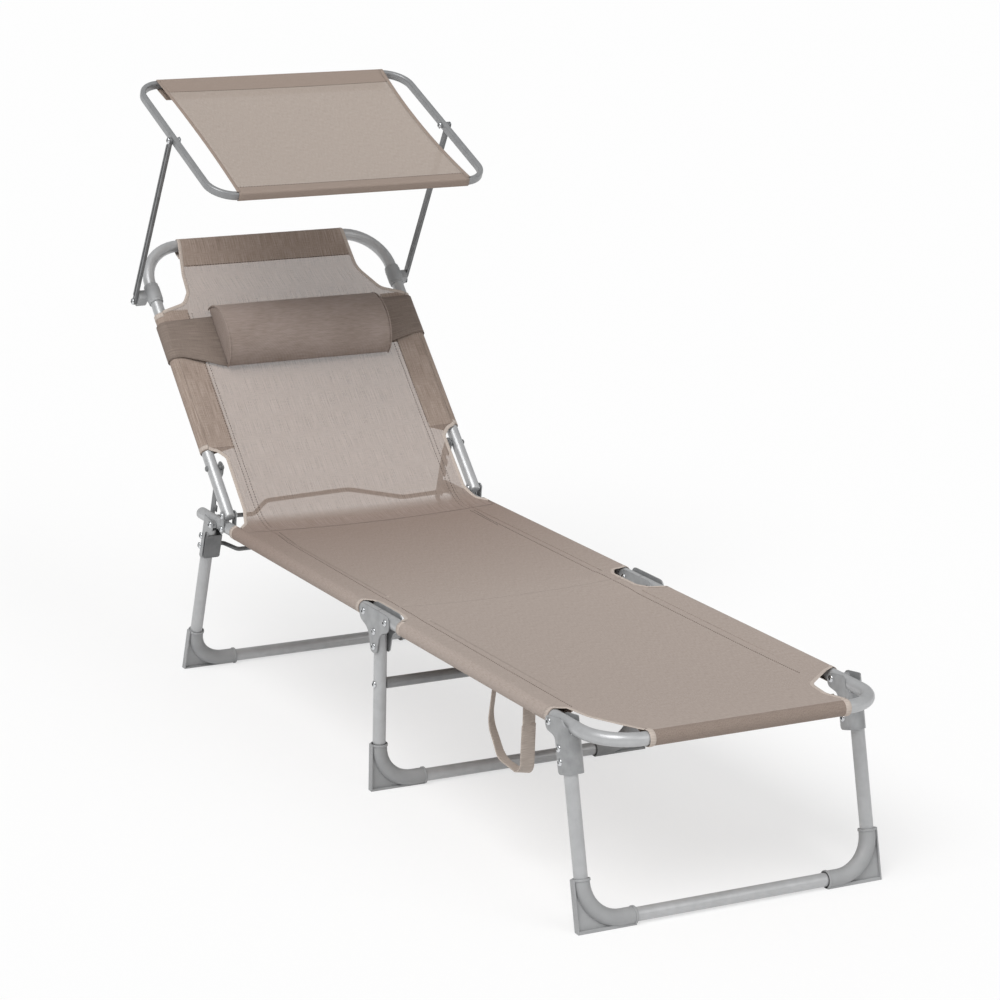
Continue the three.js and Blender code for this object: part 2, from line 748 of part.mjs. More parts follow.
// A pressed channel that wraps the leg, with two ears that hold the rail between them
function legBracket(side, leg) {
  const front = leg.offset + tubeRadius + seatGap;
  const back = -earRadius - overrun;
  const drop = channelDrop;
  const inner = innerEarFace;
  const outer = outerEarFace;
  const channel = (grow) => {
    const radius = channelCornerRadius + grow;
    return [
      [back, inner - grow],
      [front + grow, inner - grow, radius],
      [front + grow, outer + grow, radius],
      [back, outer + grow],
    ];
  };
  const lift = (corners) => rounded(corners, false, channelCornerSteps);
  const profile = [...lift(channel(sheetThickness)), ...lift(channel(0)).reverse()];
  const section = profile.map((point) => new THREE.Vector2(side * point.y, leg.towards * point.x));
  const wall = slabZ(section, -drop - overrun, earRadius + overrun);

  const [noseReach, noseRise, noseRound] = cheekNoseShares;
  const [chinReach, chinDrop, chinRound] = cheekChinShares;
  const sideOutline = rounded([
    [-earRadius, earRadius, earRadius * roundEndShare],
    [front * noseReach, earRadius * noseRise, earRadius * noseRound],
    [front * chinReach, -earRadius * chinDrop, earRadius * chinRound],
    [front + sheetThickness + overrun, -earRadius * cheekStepShare],
    [front + sheetThickness + overrun, -drop],
    [cheekSetback, -drop, earRadius * cheekFootShare],
    [cheekSetback, -earRadius * cheekWaistShare, earRadius],
    [-earRadius, -earRadius, earRadius * roundEndShare],
  ]).map((point) => new THREE.Vector2(leg.towards * point.x, point.y));
  const span = [side * (inner - sheetThickness - overrun), side * (outer + sheetThickness + overrun)];
  const sheet = common(wall, slabX(sideOutline, ...span));

  const reach = front + channelDrop;
  const radius = tubeRadius + looseGap;
  const room = slabY(rounded([
    [reach, side * railHalfSpan - radius],
    [-radius, side * railHalfSpan - radius, radius * slotRoundShare],
    [-radius, side * railHalfSpan + radius, radius * slotRoundShare],
    [reach, side * railHalfSpan + radius],
  ], true, tubeSides), -reach, reach);
  room.rotateX(-leg.towards * leg.lean);
  const spacer = rodX(spacerRadius, side * outerPlateFace, side * (outer + sheetThickness / 2), 0, 0);
  const heads = bracketRivetDrops.map((low) => (
    dome(side * (outer + sheetThickness), side, leg.y + bracketRivetShift, -low)
  ));
  const hole = pinHole(side * (inner - overrun), side * (outer + overrun), 0, 0);
  return cut(joined([cut(sheet, [room]), spacer, ...heads]), [hole]);
}

function braceRod() {
  const end = innerEarFace - sheetThickness - seatGap;
  const y = rearLegs.y + bracketRivetShift;
  const z = -bracketRivetDrops[1];
  const turn = end - braceEndLength;
  const corners = [
    [-end, y],
    [-turn, y, braceBendRadius],
    [braceSlant - turn, y - braceForward, braceBendRadius],
    [turn - braceSlant, y - braceForward, braceBendRadius],
    [turn, y, braceBendRadius],
    [end, y],
  ];
  const stations = pathStations(corners, (x, along) => new THREE.Vector3(x, along, z), rodBendSteps);
  return sweep(ringShape(rodDiameter / 2, 0), stations, axisZ);
}

// Backrest, whose own frame has the pivot at its origin, its tubes along +Z and its front at -Y

function backrestFrame() {
  const corners = [
    [-railHalfSpan, -backrestTail],
    [-railHalfSpan, backrestLength, backrestBendRadius],
    [railHalfSpan, backrestLength, backrestBendRadius],
    [railHalfSpan, -backrestTail],
  ];
  const stations = pathStations(corners, (x, z) => new THREE.Vector3(x, 0, z));
  const tube = straightTube(stations, axisY);
  const stops = [-1, 1].map((side) => {
    const disc = circlePoints(tubeRadius, tubeSides, side * railHalfSpan, 0);
    return slabZ(disc, -backrestTail, tubeWall - backrestTail);
  });
  const holes = [-1, 1].flatMap((side) => {
    const through = tubeFaces(side);
    return [pinHole(...through, 0, 0), pinHole(...through, 0, armPivotReach)];
  });
  return cut(joined([tube, ...stops]), holes);
}

function backrestCloth() {
  const outline = rounded(mirrored([
    [backClothHalfWidth, backClothStart],
    [backClothHalfWidth, armPivotReach, backCutoutRadius],
    [railHalfSpan, backSleeveStart],
    [railHalfSpan, backSleeveEnd],
    [topCutoutHalfWidth, topCutoutReach, topCutoutRadius],
    [topSleeveHalfWidth, backrestLength],
  ])).map((point) => new THREE.Vector2(point.y, point.x));
  const sheet = slabY(outline, -clothRise - clothThickness, -clothRise);
  const shape = ringShape(sleeveOuter, sleeveInner);
  const sides = [-1, 1].map((side) => sweep(shape, [
    new THREE.Vector3(side * railHalfSpan, 0, backSleeveStart),
    new THREE.Vector3(side * railHalfSpan, 0, backSleeveEnd),
  ], axisX));
  const top = sweep(shape, [-1, 1].map((side) => (
    new THREE.Vector3(side * topSleeveHalfWidth, 0, backrestLength)
  )), axisY);
  return joined([sheet, top, ...sides]);
}

// The arm hangs from its eye, with its toothed edge to the front
function supportArm(side) {
  const notchRound = armNotchWidth * armNotchRoundShare;
  const [neckDrop, neckRound] = armNeckShares;
  const teeth = armNotchReaches.flatMap((reach) => [
    [-armToothWidth, -reach + armNotchWidth / 2],
    [armNotchDepth - armToothWidth, -reach + armNotchWidth / 2, notchRound],
    [armNotchDepth - armToothWidth, -reach - armNotchWidth / 2, notchRound],
    [-armToothWidth, -reach - armNotchWidth / 2],
  ]);
  const outline = rounded([
    [armEyeRadius, armEyeRadius, armEyeRadius * roundEndShare],
    [-armEyeRadius, armEyeRadius, armEyeRadius * roundEndShare],
    [-armEyeRadius, -armEyeRadius * neckDrop, armEyeRadius * neckRound],
    ...teeth,
    [-armToothWidth, -armLength],
    [armRearWidth, -armLength, armRearWidth * armHeelRoundShare],
    [armRearWidth, -armEyeRadius * armShoulderShare, armRearWidth * armHeelRoundShare],
  ], true, armCornerSteps);
  const middle = railHalfSpan - armInset;
  const inner = middle - plateThickness / 2;
  const outer = middle + plateThickness / 2;
  const plate = slabX(outline, side * inner, side * outer);
  const tubeFace = railHalfSpan + tubeRadius;
  const shank = rodX(pinRadius, side * middle, side * (tubeFace + seatGap * 2), 0, 0);
  const head = dome(side * (tubeFace + seatGap + pinHeadHeight * domeSinkShare), side, 0, 0);
  const boss = dome(side * inner, -side, 0, 0, armEyeRadius * armBossShare, armBossHeight);
  const washer = rodX(spacerRadius * armWasherShare, side * middle, side * innerPlateFace, 0, 0);
  return joined([plate, shank, head, boss, washer]);
}

// Canopy clamp: a split sleeve round the backrest tube with an ear behind it for the strut bolt
function canopyClamp(side) {
  const x = side * railHalfSpan;
  const outerRadius = tubeRadius + seatGap + clampWall;
  const sleeve = slabZ(circlePoints(outerRadius, tubeSides, x, 0), clampReach, clampReach + clampLength);
  const earRound = clampEarHeight * clampEarRoundShare;
  const ear = slabX(rounded([
    [0, strutBoltReach - clampEarHeight / 2],
    [strutBoltSetback + clampEarHeight / 2, strutBoltReach - clampEarHeight / 2, earRound],
    [strutBoltSetback + clampEarHeight / 2, strutBoltReach + clampEarHeight / 2, earRound],
    [0, strutBoltReach + clampEarHeight / 2],
  ]), side * (railHalfSpan + tubeRadius), side * (strutInnerFace - seatGap));
  const inside = circlePoints(tubeRadius + seatGap, tubeSides, x, 0);
  const bore = slabZ(inside, clampReach - overrun, clampReach + clampLength + overrun);
  const holeEnd = side * (strutInnerFace + overrun);
  const hole = pinHole(side * railHalfSpan, holeEnd, strutBoltSetback, strutBoltReach);
  return cut(joined([sleeve, ear]), [bore, hole]);
}

function strutBolt(side) {
  const inner = railHalfSpan + tubeRadius;
  const outer = strutInnerFace + strutThickness;
  return pin(side * inner, side * outer, strutBoltSetback, strutBoltReach);
}

// Canopy struts, whose own frame has the clamp bolt at its origin

function canopyStrut(side) {
  const half = strutWidth / 2;
  const round = half * roundEndShare;
  const outline = rounded([
    [-half, -half, round],
    [half, -half, round],
    [half, strutLength + half, round],
    [-half, strutLength + half, round],
  ]);
  const holes = [0, strutLength].map((z) => circlePoints(pinRadius + seatGap, pinSides, 0, z));
  return slabX(outline, side * strutInnerFace, side * (strutInnerFace + strutThickness), holes);
}

// Canopy, whose own frame has its pivot at the origin, its loop in the XY plane and its rear at +Y

function canopySection(grow) {
  const halfWidth = canopyTubeWidth / 2 + grow;
  const halfDepth = canopyTubeDepth / 2 + grow;
  const round = canopyTubeRound + grow;
  return new THREE.Shape(rounded([
    [-halfDepth, -halfWidth, round],
    [halfDepth, -halfWidth, round],
    [halfDepth, halfWidth, round],
    [-halfDepth, halfWidth, round],
  ], true, canopyCornerSteps));
}

function canopyFrame() {
  const corners = [
    [seatGap / 2, canopyHalfLength],
    [canopyHalfSpan, canopyHalfLength, canopyBendRadius],
    [canopyHalfSpan, -canopyHalfLength, canopyBendRadius],
    [-canopyHalfSpan, -canopyHalfLength, canopyBendRadius],
    [-canopyHalfSpan, canopyHalfLength, canopyBendRadius],
    [-seatGap / 2, canopyHalfLength],
  ];
  const stations = pathStations(corners, (x, y) => new THREE.Vector3(x, y, 0));
  const section = canopySection(0);
  const bore = canopySection(-tubeWall);
  section.holes.push(new THREE.Path(bore.getPoints()));
  const tube = sweep(section, stations, axisZ);
  const holes = [-1, 1].map((side) => pinHole(
    side * (canopyHalfSpan - canopyTubeWidth), side * (canopyHalfSpan + canopyTubeWidth), 0, 0,
  ));
  return cut(tube, holes);
}

// One sheet over the loop, turned under round the front and rear bars
function canopyCloth() {
  const bar = canopyHalfLength;
  const rise = canopyTubeDepth / 2 + seatGap;
  const half = canopyTubeWidth / 2 + seatGap;
  const skin = sleeveThickness;
  const round = canopyTubeRound;
  const profile = rounded([
    [-bar - half - skin, rise + skin, round + skin],
    [-bar - half - skin, -rise - skin, round + skin],
    [-bar + canopySleeveDepth, -rise - skin],
    [-bar + canopySleeveDepth, -rise],
    [-bar - half, -rise, round],
    [-bar - half, rise, round],
    [bar + half, rise, round],
    [bar + half, -rise, round],
    [bar - canopyHemDepth, -rise],
    [bar - canopyHemDepth, -rise - skin],
    [bar + half + skin, -rise - skin, round + skin],
    [bar + half + skin, rise + skin, round + skin],
  ], true, canopyCornerSteps);
  return slabX(profile, -canopyClothHalfWidth, canopyClothHalfWidth);
}

function canopyBolt(side) {
  const outer = strutInnerFace + strutThickness;
  const innerEnd = canopyHalfSpan - canopyTubeWidth / 2 - nutHeight;
  const shank = rodX(pinRadius, side * innerEnd, side * (outer + seatGap), 0, 0);
  const head = dome(side * (outer + seatGap + pinHeadHeight * domeSinkShare), side, 0, 0);
  return joined([shank, head]);
}

function canopyNut(side) {
  const face = canopyHalfSpan - canopyTubeWidth / 2 - seatGap;
  const hexagon = circlePoints(nutRadius, nutSides);
  const hole = circlePoints(pinRadius + seatGap, pinSides);
  return slabX(hexagon, side * face, side * (face - nutHeight), [hole]);
}

// Headrest, in the backrest's frame

function strapFace() {
  return clothRise + clothThickness + seatGap + strapThickness;
}

// The bolster swells to its middle and is drawn in to flat end panels
function headrestPillow() {
  const profile = [new THREE.Vector2(0, -pillowHalfLength)];
  for (let k = 0; k <= pillowRings; k += 1) {
    const along = (2 * k) / pillowRings - 1;
    const drawIn = Math.abs(along) ** pillowDrawInPower;
    const radius = 1 - (1 - pillowEndShare) * drawIn;
    profile.push(new THREE.Vector2(radius, along * (pillowHalfLength - pillowCrown)));
  }
  profile.push(new THREE.Vector2(0, pillowHalfLength));
  const bolster = new THREE.LatheGeometry(profile, pillowSegments);
  bolster.rotateZ(-Math.PI / 2);
  bolster.scale(1, pillowHalfDepth, pillowHalfHeight);
  const back = strapFace() + seatGap;
  const depth = pillowHalfDepth * pillowDepthShare;
  bolster.translate(0, -back - depth + pillowHalfDepth, pillowReach);
  const roomLength = (pillowHalfLength + overrun) * 2;
  const roomDepth = pillowHalfDepth * 2 + overrun;
  const room = new THREE.BoxGeometry(roomLength, roomDepth, (pillowHalfHeight + overrun) * 2);
  room.translate(0, -back - roomDepth / 2, pillowReach);
  return common(bolster, room);
}

// The band runs round both backrest tubes behind the pillow
function headrestStrap() {
  const face = strapFace();
  const half = railHalfSpan + face;
  const turn = face * strapTurnShare;
  const outline = rounded([
    [-half, -face, turn],
    [half, -face, turn],
    [half, face, turn],
    [-half, face, turn],
  ]);
  const thin = strapThickness;
  const hole = rounded([
    [-half + thin, -face + thin, turn - thin],
    [half - thin, -face + thin, turn - thin],
    [half - thin, face - thin, turn - thin],
    [-half + thin, face - thin, turn - thin],
  ]);
  return slabZ(outline, pillowReach - strapWidth / 2, pillowReach + strapWidth / 2, [hole]);
}

// Assembly

const sides = [['left', -1], ['right', 1]];
const lounger = new THREE.Group();
const seat = addBody(lounger, 'seat', 0, 0);
const middle = addBody(seat, 'middle', 0, railHeight);
const foot = addBody(middle, 'foot', -hingeSpacing, 0);
const frontLeg = addBody(foot, 'front_legs', frontPivotSetback - footSectionLength, 0, -frontLean);
const rearLeg = addBody(seat, 'rear_legs', seatSectionLength - rearPivotSetback, railHeight, rearLean);
const backrest = addBody(seat, 'backrest', backrestPivotY, backrestPivotZ, backrestAngle - Math.PI / 2);
const headrest = addBody(backrest, 'headrest', 0, 0);
const arms = addBody(backrest, 'support_arms', 0, armPivotReach, armSwing);
const struts = addBody(backrest, 'struts', strutBoltSetback, strutBoltReach, strutAngle);
const canopy = addBody(struts, 'canopy', 0, strutLength, canopyTilt);

addPart(seat, 'locking_rod', lockingRod(), bright);
addPart(seat, 'sling_seat', seatCloth(), cloth);
addPart(middle, 'middle_leg_frame', middleLegFrame(), paint);
addPart(middle, 'middle_crossbar', middleCrossbar(), paint);
addPart(foot, 'foot_frame', footFrame(), paint);
addPart(foot, 'sling_foot', footCloth(), cloth);
addPart(foot, 'carry_handle', carryHandle(), webbing);
addPart(frontLeg, 'front_leg_frame', legFrame(frontLegs), paint);
addPart(rearLeg, 'rear_leg_frame', legFrame(rearLegs), paint);
addPart(rearLeg, 'rear_brace_rod', braceRod(), bright);
addPart(backrest, 'backrest_frame', backrestFrame(), paint);
addPart(backrest, 'sling_backrest', backrestCloth(), cloth);
addPart(headrest, 'headrest_pillow', headrestPillow(), darkCloth);
addPart(headrest, 'headrest_strap', headrestStrap(), darkCloth);
addPart(canopy, 'canopy_frame', canopyFrame(), paint);
addPart(canopy, 'canopy_fabric', canopyCloth(), cloth);

const plateOuter = outerPlateFace + plateThickness;
const plateInner = innerPlateFace - plateThickness;
const earOuter = outerEarFace + sheetThickness;
const earInner = innerEarFace - sheetThickness;

for (const [label, side] of sides) {
  addPart(seat, `seat_rail_${label}`, seatRail(side), paint);
  addPart(seat, `rail_end_cap_${label}`, railEndCap(side), plastic);
  addPart(seat, `backrest_hinge_plate_outer_${label}`, backrestHingePlate(side, true), paint);
  addPart(seat, `backrest_hinge_plate_inner_${label}`, backrestHingePlate(side, false), paint);
  addPart(seat, `backrest_pin_${label}`,
    pin(side * plateInner, side * plateOuter, backrestPivotY, backrestPivotZ), bright);
  addPart(seat, `rear_leg_pin_${label}`,
    pin(side * earInner, side * earOuter, seatSectionLength - rearPivotSetback, railHeight), bright);
  addPart(middle, `mid_hinge_plate_outer_${label}`, middleHingePlate(side, true), paint);
  addPart(middle, `mid_hinge_plate_inner_${label}`, middleHingePlate(side, false), paint);
  addPart(middle, `seat_hinge_pin_${label}`, pin(side * plateInner, side * plateOuter, 0, 0), bright);
  addPart(middle, `foot_hinge_pin_${label}`,
    pin(side * plateInner, side * plateOuter, -hingeSpacing, 0), bright);
  addPart(middle, `middle_foot_${label}`, cornerShoe(side, middleLegs, railHalfSpan), plastic);
  addPart(foot, `front_leg_pin_${label}`,
    pin(side * earInner, side * earOuter, frontPivotSetback - footSectionLength, 0), bright);
  addPart(frontLeg, `front_leg_bracket_${label}`, legBracket(side, frontLegs), paint);
  addPart(frontLeg, `front_foot_${label}`, cornerShoe(side, frontLegs, legHalfSpan), plastic);
  addPart(rearLeg, `rear_leg_bracket_${label}`, legBracket(side, rearLegs), paint);
  addPart(rearLeg, `rear_foot_${label}`, cornerShoe(side, rearLegs, legHalfSpan), plastic);
  addPart(arms, `support_arm_${label}`, supportArm(side), paint);
  addPart(backrest, `canopy_clamp_${label}`, canopyClamp(side), plastic);
  addPart(backrest, `strut_bolt_${label}`, strutBolt(side), bright);
  addPart(struts, `canopy_strut_${label}`, canopyStrut(side), paint);
  addPart(canopy, `canopy_bolt_${label}`, canopyBolt(side), bright);
  addPart(canopy, `canopy_nut_${label}`, canopyNut(side), bright);
}

// The origin is on the floor, under the middle of the whole length
lounger.updateMatrixWorld(true);
const extent = new THREE.Box3().setFromObject(lounger, true);
lounger.position.y = -(extent.min.y + extent.max.y) / 2;
lounger.updateMatrixWorld(true);

export default lounger;
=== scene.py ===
import bmesh
import bpy
import numpy as np
from mathutils import Matrix, Vector


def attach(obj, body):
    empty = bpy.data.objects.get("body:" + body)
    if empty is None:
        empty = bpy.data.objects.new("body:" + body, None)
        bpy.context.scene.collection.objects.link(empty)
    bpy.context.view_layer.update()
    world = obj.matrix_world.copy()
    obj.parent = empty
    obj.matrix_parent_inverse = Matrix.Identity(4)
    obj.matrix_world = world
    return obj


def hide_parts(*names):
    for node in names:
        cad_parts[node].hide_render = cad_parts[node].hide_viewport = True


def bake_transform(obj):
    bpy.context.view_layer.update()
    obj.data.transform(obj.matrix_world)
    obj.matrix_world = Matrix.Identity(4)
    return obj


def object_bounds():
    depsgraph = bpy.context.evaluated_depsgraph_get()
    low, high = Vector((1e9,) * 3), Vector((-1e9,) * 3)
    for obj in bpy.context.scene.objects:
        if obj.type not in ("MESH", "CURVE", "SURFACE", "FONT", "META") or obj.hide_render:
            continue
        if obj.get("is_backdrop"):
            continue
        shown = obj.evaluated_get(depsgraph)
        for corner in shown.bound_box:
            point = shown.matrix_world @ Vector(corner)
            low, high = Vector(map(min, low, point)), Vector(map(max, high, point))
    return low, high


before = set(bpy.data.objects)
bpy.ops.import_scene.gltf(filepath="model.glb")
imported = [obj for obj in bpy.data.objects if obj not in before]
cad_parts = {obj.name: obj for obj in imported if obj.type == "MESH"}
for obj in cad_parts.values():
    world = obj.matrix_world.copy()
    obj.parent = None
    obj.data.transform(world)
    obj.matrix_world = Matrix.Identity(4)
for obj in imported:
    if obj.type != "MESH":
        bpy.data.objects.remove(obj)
cad_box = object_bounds()

# The studio
# A pale floor that carries the lounger's shadow, a soft lamp high on the left, a weaker one on the
# right, and an even white surround. The camera stands at the foot end, a little above the seat.


def linear(hexcode):
    """An sRGB hex value as linear red, green, blue and alpha."""
    value = np.array([int(hexcode[i:i + 2], 16) for i in (0, 2, 4)]) / 255
    value = np.where(value <= 0.04045, value / 12.92, ((value + 0.055) / 1.055) ** 2.4)
    return (*value.tolist(), 1.0)


def add_node(tree, kind, inputs=None, **settings):
    """Adds a node, sets its properties, and sets or links its inputs."""
    made = tree.nodes.new(kind)
    for key, value in settings.items():
        setattr(made, key, value)
    for key, value in (inputs or {}).items():
        if isinstance(value, bpy.types.NodeSocket):
            tree.links.new(value, made.inputs[key])
        else:
            made.inputs[key].default_value = value
    return made


def add_object(name, points, faces, smooth_angle=0.7, closed=True):
    """A mesh object at the origin, its faces smooth except over edges sharper than smooth_angle. A
    closed one has its faces turned to point out."""
    mesh = bpy.data.meshes.new(name)
    mesh.from_pydata(np.asarray(points, float).tolist(), [], faces)
    if closed:
        work = bmesh.new()
        work.from_mesh(mesh)
        bmesh.ops.recalc_face_normals(work, faces=work.faces)
        work.to_mesh(mesh)
        work.free()
    mesh.shade_smooth()
    mesh.set_sharp_from_angle(angle=smooth_angle)
    made = bpy.data.objects.new(name, mesh)
    bpy.context.collection.objects.link(made)
    return made


def bare_material(name):
    """A material with an empty node tree, and that tree."""
    material = bpy.data.materials.new(name)
    material.use_nodes = True
    tree = material.node_tree
    tree.nodes.clear()
    return material, tree


PLAIN_WHITE = 0.62


def floor_finish():
    """Smooth white plaster, with no gloss. To the camera and in reflections it is mostly plain white, and
    the rest of it keeps the lounger's shadow."""
    material, tree = bare_material("white_plaster_floor")
    diffuse = add_node(tree, "ShaderNodeBsdfDiffuse", {"Color": linear("fbfbfb")})
    white = add_node(tree, "ShaderNodeEmission", {"Color": (1, 1, 1, 1), "Strength": 1.0})
    rays = add_node(tree, "ShaderNodeLightPath")
    seen = rays.outputs["Is Camera Ray"]
    for other in ("Is Glossy Ray", "Is Transmission Ray"):
        seen = add_node(tree, "ShaderNodeMath", {0: seen, 1: rays.outputs[other]},
                        operation="MAXIMUM").outputs[0]
    share = add_node(tree, "ShaderNodeMath", {0: seen, 1: PLAIN_WHITE}, operation="MULTIPLY")
    mixed = add_node(tree, "ShaderNodeMixShader", {
        0: share.outputs[0], 1: diffuse.outputs[0], 2: white.outputs[0]})
    add_node(tree, "ShaderNodeOutputMaterial", {"Surface": mixed.outputs[0]})
    return material


FLOOR_REACH = 30.0
floor = add_object("studio_floor", [(x * FLOOR_REACH, y * FLOOR_REACH, 0) for x, y in
                                    ((-1, -1), (1, -1), (1, 1), (-1, 1))], [(0, 1, 2, 3)], closed=False)
floor.data.materials.append(floor_finish())
floor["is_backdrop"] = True

world = bpy.data.worlds.new("even_white_surround")
bpy.context.scene.world = world
world.use_nodes = True
tree = world.node_tree
tree.nodes.clear()
rays = add_node(tree, "ShaderNodeLightPath")
seen = add_node(tree, "ShaderNodeMath", {0: rays.outputs["Is Camera Ray"], 1: PLAIN_WHITE},
                operation="MULTIPLY")
level = add_node(tree, "ShaderNodeMath", {0: seen.outputs[0], 1: 1 - PLAIN_WHITE}, operation="ADD")
sky = add_node(tree, "ShaderNodeBackground", {"Color": (1, 1, 1, 1), "Strength": level.outputs[0]})
add_node(tree, "ShaderNodeOutputWorld", {"Surface": sky.outputs[0]})


def add_sun(name, towards, strength, spread):
    """Parallel light that travels "towards", from a disc of sky "spread" radians wide."""
    lamp = bpy.data.lights.new(name, "SUN")
    lamp.energy = strength
    lamp.angle = spread
    made = bpy.data.objects.new(name, lamp)
    bpy.context.collection.objects.link(made)
    made.rotation_euler = Vector(towards).to_track_quat("-Z", "Y").to_euler()
    return made


add_sun("wide_lamp_left", (0.55, 0.35, -0.9), 2.1, 0.7)
add_sun("wide_lamp_front", (-0.35, 0.8, -0.55), 0.5, 0.7)

CAMERA_PLACE = (-2.734026, -5.024367, 1.923747)
CAMERA_RIGHT = (0.877335, -0.479345, 0.02261)
CAMERA_UP = (0.101122, 0.230731, 0.967749)
CAMERA_AHEAD = (0.469102, 0.846754, -0.250901)
camera = bpy.data.objects.new("camera", bpy.data.cameras.new("camera"))
bpy.context.collection.objects.link(camera)
camera.data.sensor_width = 36.0
camera.data.lens = 124.2
camera.data.clip_end = 200
turn = np.eye(4)
turn[:3] = np.stack([CAMERA_RIGHT, CAMERA_UP, -np.array(CAMERA_AHEAD), CAMERA_PLACE], axis=1)
camera.matrix_world = Matrix(turn.tolist())
bpy.context.scene.camera = camera
bpy.context.scene.view_settings.view_transform = "Standard"

# Foot frame
# One round steel tube, bent into a U with its bar at the foot end, and powder coated in silver grey.
# Its ends butt against the seat rails inside the middle hinge.

RAIL_HEIGHT = 0.303
RAIL_SPAN = 0.251
TUBE_RADIUS = 0.011
FOOT_BAR_Y = -0.877749
FOOT_BEND = 0.07
FOOT_PIVOT_Y = -0.184749
SEAT_PIVOT_Y = -0.106749
BUTT_GAP = 0.002
MIDDLE_Y = (FOOT_PIVOT_Y + SEAT_PIVOT_Y) / 2


def rounded_path(corners, steps=12):
    """Corners are rows of x, y, z, radius. Each corner with a radius becomes an arc that touches both
    of its straight runs, worked out from the half angle between them."""
    corners = np.asarray(corners, float)
    points = [corners[:1, :3]]
    for before, here, after in zip(corners[:-2], corners[1:-1], corners[2:]):
        back = before[:3] - here[:3]
        ahead = after[:3] - here[:3]
        back, ahead = back / np.linalg.norm(back), ahead / np.linalg.norm(ahead)
        half = np.arccos(np.clip(back @ ahead, -1, 1)) / 2
        if here[3] <= 0 or half > np.pi / 2 - 1e-4:
            points.append(here[None, :3])
            continue
        middle = back + ahead
        middle /= np.linalg.norm(middle)
        centre = here[:3] + middle * here[3] / np.sin(half)
        start = here[:3] + back * here[3] / np.tan(half) - centre
        end = here[:3] + ahead * here[3] / np.tan(half) - centre
        swing = np.pi - 2 * half
        share = np.linspace(0, 1, steps + 1)[:, None]
        blend = np.sin((1 - share) * swing) * start + np.sin(share * swing) * end
        points.append(centre + blend / np.sin(swing))
    points.append(corners[-1:, :3])
    return np.concatenate(points)


def ring_faces(rows, columns, closed=True):
    """Quads between neighbouring rows of a grid of points, closed round its columns or not."""
    row = np.arange(rows - 1)[:, None] * columns
    column = np.arange(columns if closed else columns - 1)[None, :]
    following = (column + 1) % columns
    quads = np.stack([row + column, row + following, row + columns + following, row + columns + column], -1)
    return quads.reshape(-1, 4)


def carried(profile, path, normal, closed=True):
    """A profile of (across, out) pairs carried along a path. "normal" is the direction of the first
    number, and the second one's is the path's direction crossed with it."""
    path = np.asarray(path, float)
    steps = np.diff(path, axis=0)
    steps /= np.linalg.norm(steps, axis=1)[:, None]
    ahead = np.concatenate([steps[:1], steps[:-1] + steps[1:], steps[-1:]])
    ahead /= np.linalg.norm(ahead, axis=1)[:, None]
    normal = np.broadcast_to(np.asarray(normal, float), path.shape)
    out = np.cross(ahead, normal)
    profile = np.asarray(profile, float)
    points = path[:, None] + profile[None, :, :1] * normal[:, None] + profile[None, :, 1:] * out[:, None]
    rows, columns = points.shape[:2]
    faces = ring_faces(rows, columns, closed).tolist()
    if closed:
        faces += [list(range(columns))[::-1], list(range((rows - 1) * columns, rows * columns))]
    return points.reshape(-1, 3), faces


def circle(radius, sides=28):
    """A round profile."""
    angle = np.linspace(0, 2 * np.pi, sides, endpoint=False)
    return np.stack([radius * np.cos(angle), radius * np.sin(angle)], -1)


def u_route(span, end, bar, bend):
    """The corners of a U from one end round its bar to the other, its ends and bar given as (y, z)."""
    return [(-span, *end, 0), (-span, *bar, bend), (span, *bar, bend), (span, *end, 0)]


def add_tube(name, corners, normal, radius=TUBE_RADIUS, steps=12):
    """A round bar whose axis takes the path of rounded corners."""
    points, faces = carried(circle(radius), rounded_path(corners, steps), normal)
    return add_object(name, points, faces)


def principled(tree, values, bump=None):
    """The surface shader and the material's output, with an optional bump."""
    inputs = dict(values)
    if bump is not None:
        inputs["Normal"] = bump.outputs["Normal"]
    shader = add_node(tree, "ShaderNodeBsdfPrincipled", inputs)
    add_node(tree, "ShaderNodeOutputMaterial", {"Surface": shader.outputs[0]})
    return shader


def noise(tree, place, scale, detail):
    """Noise between 0 and 1 that wavers about "scale" times to the unit."""
    made = add_node(tree, "ShaderNodeTexNoise", {"Vector": place, "Scale": scale, "Detail": detail})
    return made.outputs["Fac"]


def between(tree, share, low, high, start=0.35, end=0.65):
    """A colour that goes from low to high while share goes from start to end."""
    ramp = add_node(tree, "ShaderNodeValToRGB", {"Fac": share})
    for element, position, colour in zip(ramp.color_ramp.elements, (start, end), (low, high)):
        element.position = position
        element.color = linear(colour)
    return ramp.outputs["Color"]


def relief(tree, height, strength, depth=0.0004):
    """A bump from a height between 0 and 1, "depth" metres deep."""
    return add_node(tree, "ShaderNodeBump", {"Height": height, "Strength": strength, "Distance": depth})


def wandering_finish(name, low, high, scale, detail, values, grain=None):
    """Opaque matter whose colour wanders between low and high about "scale" times to the metre. "grain" is
    the scale, detail, strength and depth of its fine bumps."""
    material, tree = bare_material(name)
    place = add_node(tree, "ShaderNodeTexCoord").outputs["Object"]
    colour = between(tree, noise(tree, place, scale, detail), low, high)
    bump = relief(tree, noise(tree, place, *grain[:2]), *grain[2:]) if grain else None
    principled(tree, {"Base Color": colour, **values}, bump)
    return material


def powder_coat_finish(name, low, high):
    """Grey polyester powder, baked on: a soft satin, fine orange peel about 1.5 mm across, and flakes of
    aluminium in it that lift the colour a little. Scuffs are 15 mm across."""
    return wandering_finish(name, low, high, 60.0, 4.0, {"Metallic": 0.3, "Roughness": 0.36},
                            (700.0, 2.0, 0.06, 0.0004))


POWDER_COAT = powder_coat_finish("silver_powder_coat", "b1b2b3", "b8b9ba")


